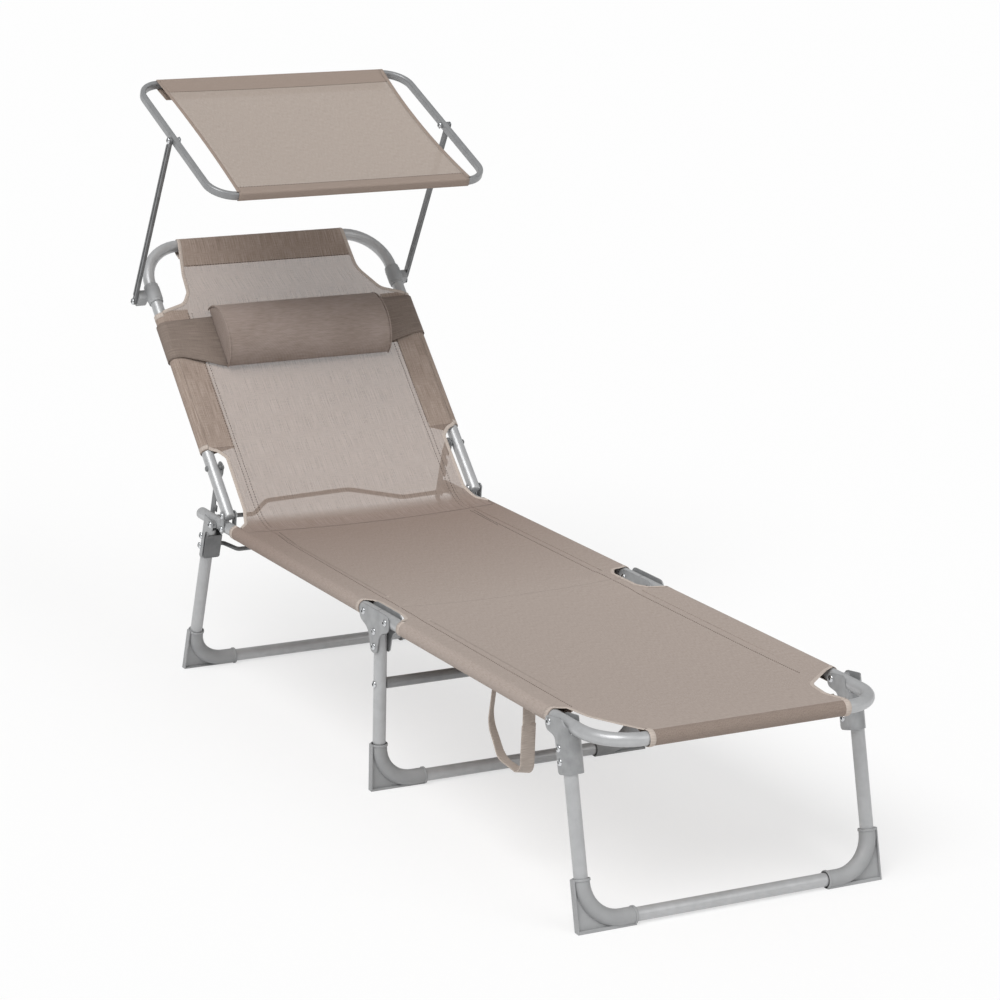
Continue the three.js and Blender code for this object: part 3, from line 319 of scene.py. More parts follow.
def dress(piece, material, body, slot, *nodes):
    """Gives a piece its material and its body, and hides the nodes that it stands for. "slot" is not used."""
    if material is not None:
        piece.data.materials.append(material)
    if body:
        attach(piece, body)
    if nodes:
        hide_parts(*nodes)
    return piece


foot_end, foot_bar = (MIDDLE_Y - BUTT_GAP / 2, RAIL_HEIGHT), (FOOT_BAR_Y, RAIL_HEIGHT)
foot_tube = add_tube("foot_tube", u_route(RAIL_SPAN, foot_end, foot_bar, FOOT_BEND), (0, 0, 1))
dress(foot_tube, POWDER_COAT, "foot_section", "painted_tube", "foot_frame")

# Seat rails and their end caps
# Two straight tubes from the middle hinge to the head end. Each is closed by a domed cap of grey
# plastic that is pushed into it.

SIDES = (("left", -1), ("right", 1))
RAIL_END_Y = SEAT_PIVOT_Y + 0.687
CAP_CROWN = 0.007


def moulded_plastic_finish():
    """Grey polypropylene, injection moulded: a dull, fine spark-eroded grain of about 0.6 mm."""
    return wandering_finish("grey_polypropylene", "98999a", "a0a1a2", 25.0, 4.0, {"Roughness": 0.5},
                            (1600.0, 1.0, 0.25, 0.0003))


MOULDED_PLASTIC = moulded_plastic_finish()


def turned_on(profile, centre, axis, sides=28):
    """A surface of revolution: rows of (along, radius) swung round "axis" through "centre". The first
    and last radii are taken as small poles and closed by a face."""
    axis = np.asarray(axis, float)
    first = np.cross(axis, (0.0, 0.0, 1.0) if abs(axis[2]) < 0.9 else (1.0, 0.0, 0.0))
    first /= np.linalg.norm(first)
    second = np.cross(axis, first)
    profile = np.asarray(profile, float)
    angle = np.linspace(0, 2 * np.pi, sides, endpoint=False)
    spokes = np.cos(angle)[:, None] * first + np.sin(angle)[:, None] * second
    points = np.asarray(centre) + profile[:, None, :1] * axis + profile[:, None, 1:] * spokes[None]
    rows = len(profile)
    faces = ring_faces(rows, sides).tolist()
    faces += [list(range(sides))[::-1], list(range((rows - 1) * sides, rows * sides))]
    return points.reshape(-1, 3), faces


def gathered(parts):
    """Several (points, faces) pairs as one."""
    points, faces, count = [], [], 0
    for some_points, some_faces in parts:
        points.append(np.asarray(some_points))
        faces += [[corner + count for corner in face] for face in some_faces]
        count += len(some_points)
    return np.concatenate(points), faces


arc = np.linspace(0, np.pi / 2, 9)
dome = np.stack([0.0012 + CAP_CROWN * np.sin(arc), np.maximum(TUBE_RADIUS * np.cos(arc), 0.0001)], -1)
plug = [(-0.012, 0.0001), (-0.012, 0.0088), (0.0003, 0.0088), (0.0003, TUBE_RADIUS)]
for label, side in SIDES:
    rail = side * RAIL_SPAN
    dress(add_tube(f"seat_tube_{label}", [
        (rail, MIDDLE_Y + BUTT_GAP / 2, RAIL_HEIGHT, 0), (rail, RAIL_END_Y, RAIL_HEIGHT, 0),
    ], (1, 0, 0)), POWDER_COAT, "seat", "painted_tube", f"seat_rail_{label}")
    surface = turned_on(np.concatenate([plug, dome]), (rail, RAIL_END_Y, RAIL_HEIGHT), (0, 1, 0))
    cap = add_object(f"end_cap_{label}", *surface)
    dress(cap, MOULDED_PLASTIC, "seat", "grey_plastic", f"rail_end_cap_{label}")

# Leg frames
# Three U shaped tubes, powder coated as the rails are. The front pair leans to the foot end, the rear
# pair to the head end, and the middle one stands upright with a cross tube riveted between its legs.

FRONT_PIVOT_Y = FOOT_BAR_Y + 0.131
REAR_PIVOT_Y = RAIL_END_Y - 0.08
BAR_HEIGHT = 0.0135
LEG_BEND = 0.062
UPRIGHT_TOP = 0.029
BRACKET_TOP = 0.0115
LEGS = {
    "front": dict(body="front_legs", y=FRONT_PIVOT_Y, angle=-np.radians(14.04), offset=-0.0303, span=0.259),
    "middle": dict(body="middle", y=MIDDLE_Y, angle=0.0, offset=0.0, span=RAIL_SPAN),
    "rear": dict(body="rear_legs", y=REAR_PIVOT_Y, angle=np.radians(16.4), offset=0.0227, span=0.259),
}
for leg in LEGS.values():
    lean, out = abs(leg["angle"]), abs(leg["offset"])
    leg["bar"] = (RAIL_HEIGHT - BAR_HEIGHT + out * np.sin(lean)) / np.cos(lean)
    leaning_top = (BRACKET_TOP + (TUBE_RADIUS + out) * np.sin(lean)) / np.cos(lean)
    leg["top"] = UPRIGHT_TOP if lean == 0 else leaning_top


def placed(points, y, z, angle):
    """Points of a body's own frame, turned about X by angle and moved to its pivot."""
    points = np.array(points, float)
    turned = points.copy()
    turned[:, 1] = y + points[:, 1] * np.cos(angle) - points[:, 2] * np.sin(angle)
    turned[:, 2] = z + points[:, 1] * np.sin(angle) + points[:, 2] * np.cos(angle)
    return turned


for label, leg in LEGS.items():
    leg_end, leg_bar = (leg["offset"], -leg["top"]), (leg["offset"], -leg["bar"])
    route = rounded_path(u_route(leg["span"], leg_end, leg_bar, LEG_BEND))
    points, faces = carried(circle(TUBE_RADIUS), route, (0, -1, 0))
    tube = add_object(f"{label}_leg_tube", placed(points, leg["y"], RAIL_HEIGHT, leg["angle"]), faces)
    dress(tube, POWDER_COAT, leg["body"], "painted_tube", f"{label}_leg_frame")

CROSSBAR_HEIGHT = 0.186
CROSSBAR_RADIUS = 0.0095
# the cross tube's darker grey coat is painted shade, the shade under the seat
CROSSBAR_PAINTED_SHADE_COAT = powder_coat_finish("crossbar_painted_shade_coat", "868788", "8e8f90")
crossbar_end = RAIL_SPAN - TUBE_RADIUS + 0.0015
dress(add_tube("middle_cross_tube", [
    (-crossbar_end, MIDDLE_Y, CROSSBAR_HEIGHT, 0), (crossbar_end, MIDDLE_Y, CROSSBAR_HEIGHT, 0),
], (0, 1, 0), CROSSBAR_RADIUS), CROSSBAR_PAINTED_SHADE_COAT, "middle", "painted_tube", "middle_crossbar")

# Corner shoes
# Each floor bar ends in two grey plastic shoes. A shoe is a sleeve round the bend with a lip at each
# end, a fin down its outside, a sole under it, and a thin web that fills the corner between them.

SHOE_WALL = 0.0024
SHOE_HEIGHT = 0.082
SHOE_LENGTH = 0.102
SHOE_REACH = 0.016
SHOE_DEPTH = 0.006
SHOE_FLANGE = 0.0026
SHOE_WEB = 0.0036
LIP = 0.0013
LIP_LENGTH = 0.004
FLOOR_MARK = -1.0


def extruded(outline, low, high, lift):
    """An outline of pairs carried straight from low to high: lift(pairs, level) places each end."""
    outline = np.asarray(outline, float)
    count = len(outline)
    points = np.concatenate([lift(outline, low), lift(outline, high)])
    faces = ring_faces(2, count).tolist() + [list(range(count))[::-1], list(range(count, 2 * count))]
    return points, faces


def shoe_parts(leg):
    """A shoe in its leg's own frame: sleeve, two lips, fin, sole and web. Where an outline's second number
    is FLOOR_MARK, it goes down to the floor, wherever the leg's lean puts that."""
    span, bar, offset = leg["span"], leg["bar"], leg["offset"]
    outer, top = span + SHOE_REACH, -bar - TUBE_RADIUS - SHOE_WALL + SHOE_HEIGHT
    inner, fin_face, web_edge = outer - SHOE_LENGTH, outer - SHOE_FLANGE, outer - 0.001
    rib_top = -bar - TUBE_RADIUS + 0.001

    def lift(pairs, y):
        sole = -(RAIL_HEIGHT + (y + offset) * np.sin(leg["angle"])) / np.cos(leg["angle"])
        z = np.where(pairs[:, 1] == FLOOR_MARK, sole, pairs[:, 1])
        return np.stack([pairs[:, 0], np.full(len(pairs), offset + y), z], -1)

    route = rounded_path([(span, offset, top, 0), (span, offset, -bar, LEG_BEND), (inner, offset, -bar, 0)])
    lip_ring = circle(TUBE_RADIUS + SHOE_WALL + LIP)
    fin = [(fin_face, top), (fin_face, FLOOR_MARK), (outer, FLOOR_MARK), (outer, top)]
    rib = [(inner, rib_top), (inner, FLOOR_MARK), (fin_face, FLOOR_MARK), (fin_face, rib_top)]
    web = [(web_edge, top), *route[:, ::2].tolist(), (inner, FLOOR_MARK), (web_edge, FLOOR_MARK)]
    return gathered([
        carried(circle(TUBE_RADIUS + SHOE_WALL), route, (0, -1, 0)),
        carried(lip_ring, [(span, offset, top), (span, offset, top - LIP_LENGTH)], (0, -1, 0)),
        carried(lip_ring, [(inner + LIP_LENGTH, offset, -bar), (inner, offset, -bar)], (0, -1, 0)),
        extruded(fin, -SHOE_DEPTH, SHOE_DEPTH, lift),
        extruded(rib, -SHOE_DEPTH, SHOE_DEPTH, lift),
        extruded(web[::-1], -SHOE_WEB / 2, SHOE_WEB / 2, lift),
    ])


def mirrored(points, faces, side):
    """The same surface on the other side, its faces turned to point out again."""
    if side > 0:
        return points, faces
    return points * (-1, 1, 1), [list(face)[::-1] for face in faces]


def soften(piece, width, angle=0.6):
    """Rounds a piece's sharp edges."""
    bevel = piece.modifiers.new("rounded_edges", "BEVEL")
    bevel.width = width
    bevel.segments = 2
    bevel.limit_method = "ANGLE"
    bevel.angle_limit = angle
    bevel.harden_normals = False
    return piece


for label, leg in LEGS.items():
    points, faces = shoe_parts(leg)
    for name, side in SIDES:
        some_points, some_faces = mirrored(points, faces, side)
        some_points = placed(some_points, leg["y"], RAIL_HEIGHT, leg["angle"])
        shoe = soften(add_object(f"{label}_shoe_{name}", some_points, some_faces), 0.0006)
        dress(shoe, MOULDED_PLASTIC, leg["body"], "grey_plastic", f"{label}_foot_{name}")

# Pressed steel brackets and plates
# Leg brackets, hinge plates and ratchet arms are cut and bent from 2 mm sheet and coated as the tubes
# are; the ratchet arms' darker grey here is painted shade. Each is its solid with the sharp sheared edges
# eased.


PRESSED_COAT = powder_coat_finish("grey_powder_coat", "939495", "a1a2a3")
# a darker grey whose darkness is painted shade, for the parts that sit in shade
PAINTED_SHADE_COAT = powder_coat_finish("painted_shade_dark_grey_coat", "6c6d6e", "7b7c7d")
WEB_X = (0.2386, 0.271)
WEB_Z = (-0.078, -0.031)
WEB_DEPTH = (0.0002, 0.0015)


def eased_copy(name, node, width=0.0005):
    """A copy of a node's solid, its doubled points merged, its edges eased."""
    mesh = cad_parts[node].data.copy()
    mesh.materials.clear()
    work = bmesh.new()
    work.from_mesh(mesh)
    bmesh.ops.remove_doubles(work, verts=work.verts, dist=2e-6)
    bmesh.ops.dissolve_limit(work, angle_limit=0.01, verts=work.verts, edges=work.edges)
    work.to_mesh(mesh)
    work.free()
    mesh.shade_smooth()
    mesh.set_sharp_from_angle(angle=0.55)
    made = bpy.data.objects.new(name, mesh)
    bpy.context.collection.objects.link(made)
    return soften(made, width, 0.55)


for name in ("left", "right"):
    for node, body in (("front_leg_bracket", "front_legs"), ("rear_leg_bracket", "rear_legs"),
                       ("mid_hinge_plate_outer", "middle"), ("mid_hinge_plate_inner", "middle"),
                       ("backrest_hinge_plate_outer", "seat"), ("backrest_hinge_plate_inner", "seat"),
                       ("support_arm", f"support_arm_{name}")):
        plate = eased_copy(f"{node}_pressed_{name}", f"{node}_{name}")
        # the ratchet arms' darker coat is painted shade
        coat = PAINTED_SHADE_COAT if node == "support_arm" else PRESSED_COAT
        dress(plate, coat, body, "pressed_steel", f"{node}_{name}")


def upright(pairs, y):
    """Pairs of (x, z) at one depth."""
    return np.stack([pairs[:, 0], np.full(len(pairs), y), pairs[:, 1]], -1)


# a pressed web on the leg closes each rear bracket in front; its darker grey coat is painted shade
leg = LEGS["rear"]
(low, high), (bottom, top) = WEB_X, WEB_Z
outline = rounded_path([
    (low, 0, top, 0), (low, 0, bottom, 0.004), (high, 0, bottom, 0.004), (high, 0, top, 0)], 5)[:, ::2]
front = leg["offset"] - TUBE_RADIUS
for name, side in SIDES:
    points, faces = extruded(outline * (side, 1), front - WEB_DEPTH[1], front - WEB_DEPTH[0], upright)
    web = add_object(f"rear_bracket_web_{name}", placed(points, leg["y"], RAIL_HEIGHT, leg["angle"]), faces)
    dress(soften(web, 0.0004), PAINTED_SHADE_COAT, "rear_legs", "pressed_steel")

# Rivets and pivot pins
# Bright zinc plated steel. Every pivot is a semi-tubular rivet: a low dome with a small dark well in
# its middle. The fixed rivets through plates and legs look the same.

PIN_RADIUS = 0.003
HEAD_RADIUS = 0.0062
HEAD_HEIGHT = 0.0029


def bright_zinc_finish():
    """Zinc plate, passivated clear: bright, with faint turning marks and a dull film."""
    return wandering_finish("bright_zinc", "c9cbcd", "dadcde", 300.0, 2.0,
                            {"Metallic": 1.0, "Roughness": 0.22})


def shadowed_well_finish():
    """The inside of a hollow rivet: bare steel in its own shade, nearly black."""
    material, tree = bare_material("rivet_well")
    principled(tree, {"Base Color": linear("3c3d3e"), "Roughness": 0.6, "Metallic": 0.6})
    return material


BRIGHT_ZINC = bright_zinc_finish()
RIVET_WELL = shadowed_well_finish()


def head_profile(radius=HEAD_RADIUS, height=HEAD_HEIGHT):
    """Rows of (height, radius) of a rivet head from its well to its rim."""
    swing = np.linspace(np.pi / 2 - 0.42, 0, 7)
    dome = np.stack([height * np.sin(swing), radius * np.cos(swing)], -1)
    return np.concatenate([[(height * 0.35, 0.0001), (height * 0.35, radius * 0.3)], dome])


def rivet_parts(inner, outer, y, z, radius=HEAD_RADIUS, height=HEAD_HEIGHT):
    """One rivet along X from the plane x=inner to x=outer, a head outside each of them."""
    side = np.sign(outer - inner)
    head = head_profile(radius, height)
    far = np.stack([abs(outer - inner) + head[::-1, 0], head[::-1, 1]], -1)
    near = np.stack([-head[:, 0], head[:, 1]], -1)
    shank = [(0.0, PIN_RADIUS), (abs(outer - inner), PIN_RADIUS)]
    return turned_on(np.concatenate([near, shank, far]), (inner, y, z), (side, 0, 0), 20)


def rivet_piece(name, rivets):
    """Rivets as one piece: bright all over but for the floor and wall of each well."""
    parts = [rivet_parts(*rivet) for rivet in rivets]
    piece = add_object(name, *gathered(parts), smooth_angle=0.9)
    piece.data.materials.append(BRIGHT_ZINC)
    piece.data.materials.append(RIVET_WELL)
    rows = 2 * len(head_profile()) + 2
    index = np.zeros(len(piece.data.polygons), int)
    per_rivet = (rows - 1) * 20 + 2
    for k in range(len(rivets)):
        start = k * per_rivet
        index[start:start + 40] = 1
        index[start + per_rivet - 42:start + per_rivet] = 1
    piece.data.polygons.foreach_set("material_index", index.astype(np.int32))
    return piece


PLATE_OUT, PLATE_IN = 0.2645, 0.2375
EAR_OUT, EAR_IN = 0.2722, 0.2374
PIVOT = (0.465251, 0.327)
HINGE_DROPS = (0.025, 0.051)
BRACKET_DROPS = (0.04, 0.061)
RIVET_SHIFT = 0.007
CROSSBAR_HEADS = (0.24, 0.262)
for name, side in SIDES:
    plates, ears = (side * PLATE_IN, side * PLATE_OUT), (side * EAR_IN, side * EAR_OUT)
    middle_rivets = [(*plates, MIDDLE_Y, RAIL_HEIGHT - drop) for drop in HINGE_DROPS]
    middle_rivets.append((side * CROSSBAR_HEADS[0], side * CROSSBAR_HEADS[1], MIDDLE_Y, CROSSBAR_HEIGHT))
    for label, body, pin, rivets in (
            ("seat_pivot_rivet", "middle", "seat_hinge_pin", [(*plates, SEAT_PIVOT_Y, RAIL_HEIGHT)]),
            ("foot_pivot_rivet", "middle", "foot_hinge_pin", [(*plates, FOOT_PIVOT_Y, RAIL_HEIGHT)]),
            ("middle_leg_rivets", "middle", None, middle_rivets),
            ("backrest_pivot_rivet", "seat", "backrest_pin", [(*plates, *PIVOT)]),
            ("backrest_plate_rivet", "seat", None, [(*plates, PIVOT[0] + 0.003, RAIL_HEIGHT - 0.0015)]),
            ("front_pivot_rivet", "foot_section", "front_leg_pin", [(*ears, FRONT_PIVOT_Y, RAIL_HEIGHT)]),
            ("rear_pivot_rivet", "seat", "rear_leg_pin", [(*ears, REAR_PIVOT_Y, RAIL_HEIGHT)])):
        nodes = [f"{pin}_{name}"] if pin else []
        dress(rivet_piece(f"{label}_{name}", rivets), None, body, "bright_steel", *nodes)
    for label in ("front", "rear"):
        leg = LEGS[label]
        piece = rivet_piece(f"{label}_leg_rivets_{name}", [
            (*ears, leg["offset"] + RIVET_SHIFT, -drop) for drop in BRACKET_DROPS])
        spots = np.empty(len(piece.data.vertices) * 3)
        piece.data.vertices.foreach_get("co", spots)
        moved = placed(spots.reshape(-1, 3), leg["y"], RAIL_HEIGHT, leg["angle"])
        piece.data.vertices.foreach_set("co", moved.ravel())
        dress(piece, None, leg["body"], "bright_steel")

# Locking rod and rear brace
# Two 8 mm rods, bent cold; their darker grey coat is painted shade. The locking rod lies across the seat
# rails and the ratchet arms hook over it. The brace ties the two rear brackets together.

ROD_RADIUS = 0.004
ROD_Y = RAIL_END_Y - 0.032
ROD_RISE = 0.023
dress(add_tube("locking_rod_bent", [
    (-0.2448, ROD_Y, RAIL_HEIGHT, 0),
    (-0.162, ROD_Y, RAIL_HEIGHT - 0.003, 0.015),
    (-0.138, ROD_Y, RAIL_HEIGHT + ROD_RISE - 0.003, 0.02),
    (0.03, ROD_Y, RAIL_HEIGHT + ROD_RISE + 0.001, 0.1),
    (0.145, ROD_Y, RAIL_HEIGHT - 0.003, 0.08),
    (0.2448, ROD_Y, RAIL_HEIGHT, 0),
], (0, 1, 0), ROD_RADIUS, 6), PAINTED_SHADE_COAT, "seat", "bright_steel", "locking_rod")
rear = LEGS["rear"]
brace_y = rear["offset"] + RIVET_SHIFT
brace = rounded_path([
    (-0.2373, brace_y, -0.061, 0),
    (-0.2253, brace_y, -0.061, 0.01),
    (-0.2073, brace_y - 0.027, -0.061, 0.01),
    (0.2073, brace_y - 0.027, -0.061, 0.01),
    (0.2253, brace_y, -0.061, 0.01),
    (0.2373, brace_y, -0.061, 0),
], 6)
points, faces = carried(circle(ROD_RADIUS, 16), brace, (0, 0, 1))
dress(add_object("rear_brace_bent", placed(points, rear["y"], RAIL_HEIGHT, rear["angle"]), faces),
      PAINTED_SHADE_COAT, "rear_legs", "bright_steel", "rear_brace_rod")

# Backrest frame
# An inverted U of the same tube, pivoted on the seat rails' hinge plates, with wide bends at the top.

BACK_ANGLE = np.radians(45.2) - np.pi / 2
BACK_LENGTH = 0.586
BACK_BEND = 0.082


def on_backrest(points):
    """Points of the backrest's own frame, where z runs up its tubes and -y is its front."""
    return placed(points, PIVOT[0], PIVOT[1], BACK_ANGLE)


route = rounded_path(u_route(RAIL_SPAN, (0, -0.006), (0, BACK_LENGTH), BACK_BEND))
points, faces = carried(circle(TUBE_RADIUS), route, (0, 1, 0))
back_tube = add_object("backrest_tube", on_backrest(points), faces)
soften(back_tube, 0.002)
dress(back_tube, POWDER_COAT, "backrest", "painted_tube", "backrest_frame")

# Sling cloth
# One length of coated polyester mesh from the foot bar to the top of the backrest, sewn into sleeves
# round the tubes. It is cut away at the corners and at the hinges, and those edges are bound with tape.

CLOTH_LIFT = 0.0122
CLOTH_THICKNESS = 0.0012
SEAM_X = 0.205
FOLD_Y = 0.385


def stretched(tree, place, scale):
    """Coordinates scaled differently along each axis."""
    return add_node(tree, "ShaderNodeMapping", {"Vector": place, "Scale": scale}).outputs[0]


def mesh_cloth_finish(name, low, high, openness, streak=0.26, slub=22.0, shade=None, closes=None):
    """PVC coated polyester yarn in an open plain weave, pitch 1.4 mm, drawn at 2.6 mm so that it shows:
    matt, with faint streaks along the warp, "slub" of them to the metre, and pinholes in it. Places along
    the cloth: "shade" says where a darkening tint starts and is full, and the tint; that tint is painted
    shade. "closes" says where the pinholes are shut and where they are open. Either face of the cloth lets
    openness's root through."""
    material, tree = bare_material(name)
    place = add_node(tree, "ShaderNodeUVMap", uv_map="cloth").outputs["UV"]
    streaks = noise(tree, stretched(tree, place, (900.0, slub, 1.0)), 1.0, 3.0)
    ribs = noise(tree, stretched(tree, place, (60.0, 800.0, 1.0)), 1.0, 2.0)
    both = add_node(tree, "ShaderNodeMix", {0: 0.3, 2: streaks, 3: ribs}).outputs[0]
    colour = between(tree, both, low, high, 0.5 - streak / 2, 0.5 + streak / 2)
    along = add_node(tree, "ShaderNodeSeparateXYZ", {0: place}).outputs["Y"]
    # the tint along the cloth is painted shade
    if shade:
        fade = add_node(tree, "ShaderNodeMapRange", {
            "Value": along, "From Min": shade[0], "From Max": shade[1]}).outputs[0]
        colour = add_node(tree, "ShaderNodeMix", {0: fade, 6: colour, 7: linear(shade[2])},
                          data_type="RGBA", blend_type="MULTIPLY").outputs[2]
    weave = stretched(tree, place, (385.0, 385.0, 1.0))
    checks = add_node(tree, "ShaderNodeTexChecker", {"Vector": weave, "Scale": 1.0}).outputs["Fac"]
    bump = relief(tree, checks, 0.35)
    if openness <= 0:
        principled(tree, {"Base Color": colour, "Roughness": 0.85}, bump)
        return material
    shader = add_node(tree, "ShaderNodeBsdfPrincipled", {
        "Base Color": colour, "Roughness": 0.85, "Normal": bump.outputs["Normal"]})
    clear = add_node(tree, "ShaderNodeBsdfTransparent")
    share = openness ** 0.5
    if closes:
        share = add_node(tree, "ShaderNodeMapRange", {
            "Value": along, "From Min": closes[0], "From Max": closes[1], "To Max": share}).outputs[0]
    mixed = add_node(tree, "ShaderNodeMixShader", {0: share, 1: shader.outputs[0], 2: clear.outputs[0]})
    add_node(tree, "ShaderNodeOutputMaterial", {"Surface": mixed.outputs[0]})
    return material


FOOT_MESH = mesh_cloth_finish("foot_polyester_mesh", "9d9087", "b2a59d", 0.0, 0.34, 110.0)
# the seat cloth grows darker from the middle hinge to the fold: painted shade of the backrest and canopy
SEAT_MESH = mesh_cloth_finish("seat_polyester_mesh", "9d9087", "b2a59d", 0.0, 0.34, 110.0,
                              shade=(0.0, 0.5, "dcd4d0"))
# the backrest cloth carries the same painted shade for its first few centimetres above the fold
BACK_MESH = mesh_cloth_finish("backrest_polyester_mesh", "958478", "af9e93", 0.2,
                              shade=(0.065, 0.03, "e4e2e4"), closes=(0.03, 0.062))
SLEEVE_MESH = mesh_cloth_finish("sleeve_polyester_mesh", "87776c", "a8988d", 0.0, 0.22)
BAR_MESH = mesh_cloth_finish("foot_bar_polyester_mesh", "7b6c62", "988a80", 0.0, 0.4, 420.0)


def tape_finish(name, low, high):
    """Woven polyester tape: fine ribs 1 mm apart across it, matt, and paler than the mesh."""
    material, tree = bare_material(name)
    place = add_node(tree, "ShaderNodeUVMap", uv_map="cloth").outputs["UV"]
    ribs = noise(tree, stretched(tree, place, (40.0, 1000.0, 1.0)), 1.0, 2.0)
    colour = between(tree, ribs, low, high, 0.3, 0.7)
    principled(tree, {"Base Color": colour, "Roughness": 0.9}, relief(tree, ribs, 0.4))
    return material


BINDING_TAPE = tape_finish("binding_tape", "a99c92", "c8bdb4")


def add_grid(name, points, uv, zones=None, thickness=CLOTH_THICKNESS, offset=0.0):
    """A surface from a grid of points, rows by columns, with its flat cut as the UV map in metres. "zones"
    gives each quad's material. The cloth's thickness is put on by Solidify."""
    rows, columns = points.shape[:2]
    faces = ring_faces(rows, columns, closed=False)
    made = add_object(name, points.reshape(-1, 3), faces.tolist(), 1.2, closed=False)
    layer = made.data.uv_layers.new(name="cloth")
    layer.data.foreach_set("uv", uv.reshape(-1, 2)[faces.ravel()].ravel())
    if zones is not None:
        made.data.polygons.foreach_set("material_index", zones.ravel().astype(np.int32))
    if thickness:
        wall = made.modifiers.new("cloth_thickness", "SOLIDIFY")
        wall.thickness = thickness
        wall.offset = offset
    return made


def distance_along(path):
    """How far each of a path's points is from its first, along it."""
    return np.concatenate([[0], np.cumsum(np.linalg.norm(np.diff(path, axis=0), axis=1))])


def grid_uv(points):
    """Flat cut of a grid: distance along the rows' middle column, and distance across from it."""
    middle = points.shape[1] // 2
    along = distance_along(points[:, middle])
    steps = np.linalg.norm(np.diff(points, axis=1), axis=2)
    across = np.concatenate([np.zeros((len(points), 1)), np.cumsum(steps, axis=1)], axis=1)
    across -= across[:, middle:middle + 1]
    return np.stack([across, np.broadcast_to(along[:, None], across.shape)], -1)


def width_at(edge, stations):
    """Half width of the cloth at each station, from an edge of (half width, station, radius) corners."""
    edge = np.asarray(edge, float)
    run = rounded_path(np.stack([edge[:, 0], edge[:, 1], np.zeros(len(edge)), edge[:, 2]], -1), 10)
    order = np.argsort(run[:, 1], kind="stable")
    return np.interp(stations, run[order, 1], run[order, 0])


def sleeve_grid(x_rail, stations, lift, seam=SEAM_X, radius=CLOTH_LIFT):
    """Cloth round one tube: from its top round the outside and underneath, then up to the seam. "lift"
    places (x, away from the tube's axis towards the sheet, station)."""
    side = np.sign(x_rail)
    reach = abs(x_rail) - seam
    leave = np.arccos(np.clip(-radius / np.hypot(reach, radius), -1, 1))
    swing = np.linspace(0, np.pi / 2 + leave - 0.05, 24)
    x = np.concatenate([radius * np.sin(swing), [-reach]])
    up = np.concatenate([radius * np.cos(swing), [radius - 0.0012]])
    xx = x_rail + side * np.broadcast_to(x, (len(stations), len(x)))
    upup = np.broadcast_to(up, xx.shape)
    return lift(xx, upup, np.broadcast_to(np.asarray(stations)[:, None], xx.shape))


def level_lift(x, up, y):
    """Cloth "up" above the level rails' axes."""
    return np.stack([x, y, RAIL_HEIGHT + up], -1)


def back_lift(x, up, t):
    """Cloth "up" in front of the backrest tubes' axes, t along them."""
    return on_backrest(np.stack([x.ravel(), -up.ravel(), t.ravel()], -1)).reshape(*x.shape, 3)


BAND_COLUMNS = 7
MIDDLE_COLUMNS = 48
COLUMNS = 2 * BAND_COLUMNS + MIDDLE_COLUMNS + 1
CENTRE = COLUMNS // 2


def spread_columns(left, right, seam):
    """Places across each row of a sheet: a band from either edge to its seam, and the rest between the
    seams. Where a cut-out takes the seam away, its band shrinks to a tenth of the half width."""
    left_seam = np.minimum(seam, left * 0.9)
    right_seam = np.minimum(seam, right * 0.9)
    parts = []
    for low, high, count in ((-left, -left_seam, BAND_COLUMNS), (-left_seam, right_seam, MIDDLE_COLUMNS),
                             (right_seam, right, BAND_COLUMNS)):
        parts.append(low[:, None] + (high - low)[:, None] * np.linspace(0, 1, count, endpoint=False))
    return np.concatenate([*parts, right[:, None]], axis=1)


def sheet_grid(stations, left, right, lift, seam, sag):
    """A spread of cloth between its two edges: each row runs straight across, and dips in the middle by
    sag times a parabola."""
    x = spread_columns(left, right, seam)
    share = np.where(x < 0, x / left[:, None], x / right[:, None])
    dip = sag[:, None] * (1 - share ** 2)
    return lift(x, CLOTH_LIFT - dip, np.broadcast_to(stations[:, None], x.shape))


def joined_piece(name, pieces):
    """Several objects as one, under the first one's modifiers."""
    bpy.ops.object.select_all(action="DESELECT")
    for piece in pieces:
        piece.select_set(True)
    bpy.context.view_layer.objects.active = pieces[0]
    bpy.ops.object.join()
    pieces[0].name = name
    return pieces[0]


def binding_grid(edge, normal, half_width=0.0034, thickness=0.0018, rise=0.0007):
    """Tape over a cut edge: a flattened ring carried along it, "rise" above it. Its UV runs along it."""
    edge = np.asarray(edge, float)
    angle = np.linspace(0, 2 * np.pi, 13)
    profile = np.stack([thickness / 2 * np.sin(angle) + rise, half_width * np.cos(angle)], -1)
    points, _ = carried(profile, edge, normal, closed=False)
    points = points.reshape(len(edge), len(angle), 3)
    along = distance_along(edge)
    across = np.linspace(0, 2 * half_width, len(angle))
    return points, np.stack(np.meshgrid(across, along), -1)


def stitch_row(path, normal, length=0.0046, gap=0.0009, width=0.002):
    """A row of stitches: small flat six-sided beads set end to end along a path."""
    path = np.asarray(path, float)
    run = distance_along(path)
    centres = np.arange(gap, run[-1] - length, length + gap) + length / 2
    spots = np.stack([np.interp(centres, run, path[:, k]) for k in range(3)], -1)
    ahead = np.stack([np.interp(centres + 0.001, run, path[:, k]) for k in range(3)], -1) - spots
    ahead /= np.linalg.norm(ahead, axis=1)[:, None]
    normal = np.broadcast_to(np.asarray(normal, float), spots.shape)
    out = np.cross(ahead, normal)
    bead = np.array([(-1, 0, 0), (0, -1, 0), (1, 0, 0), (0, 1, 0), (0, 0, 1)], float)
    axes = np.stack([ahead * length / 2, out * width / 2, normal * width / 2], axis=1)
    points = spots[:, None] + bead @ axes
    pattern = np.array([(0, 1, 4), (1, 2, 4), (2, 3, 4), (3, 0, 4), (0, 3, 1), (3, 2, 1)])
    faces = (np.arange(len(spots))[:, None, None] * 5 + pattern[None]).reshape(-1, 3)
    return points.reshape(-1, 3), faces.tolist()


def thread_finish():
    """Bonded polyester thread, a shade darker than the cloth it sinks into."""
    return wandering_finish("sewing_thread", "50453e", "62564e", 900.0, 1.0, {"Roughness": 0.8})


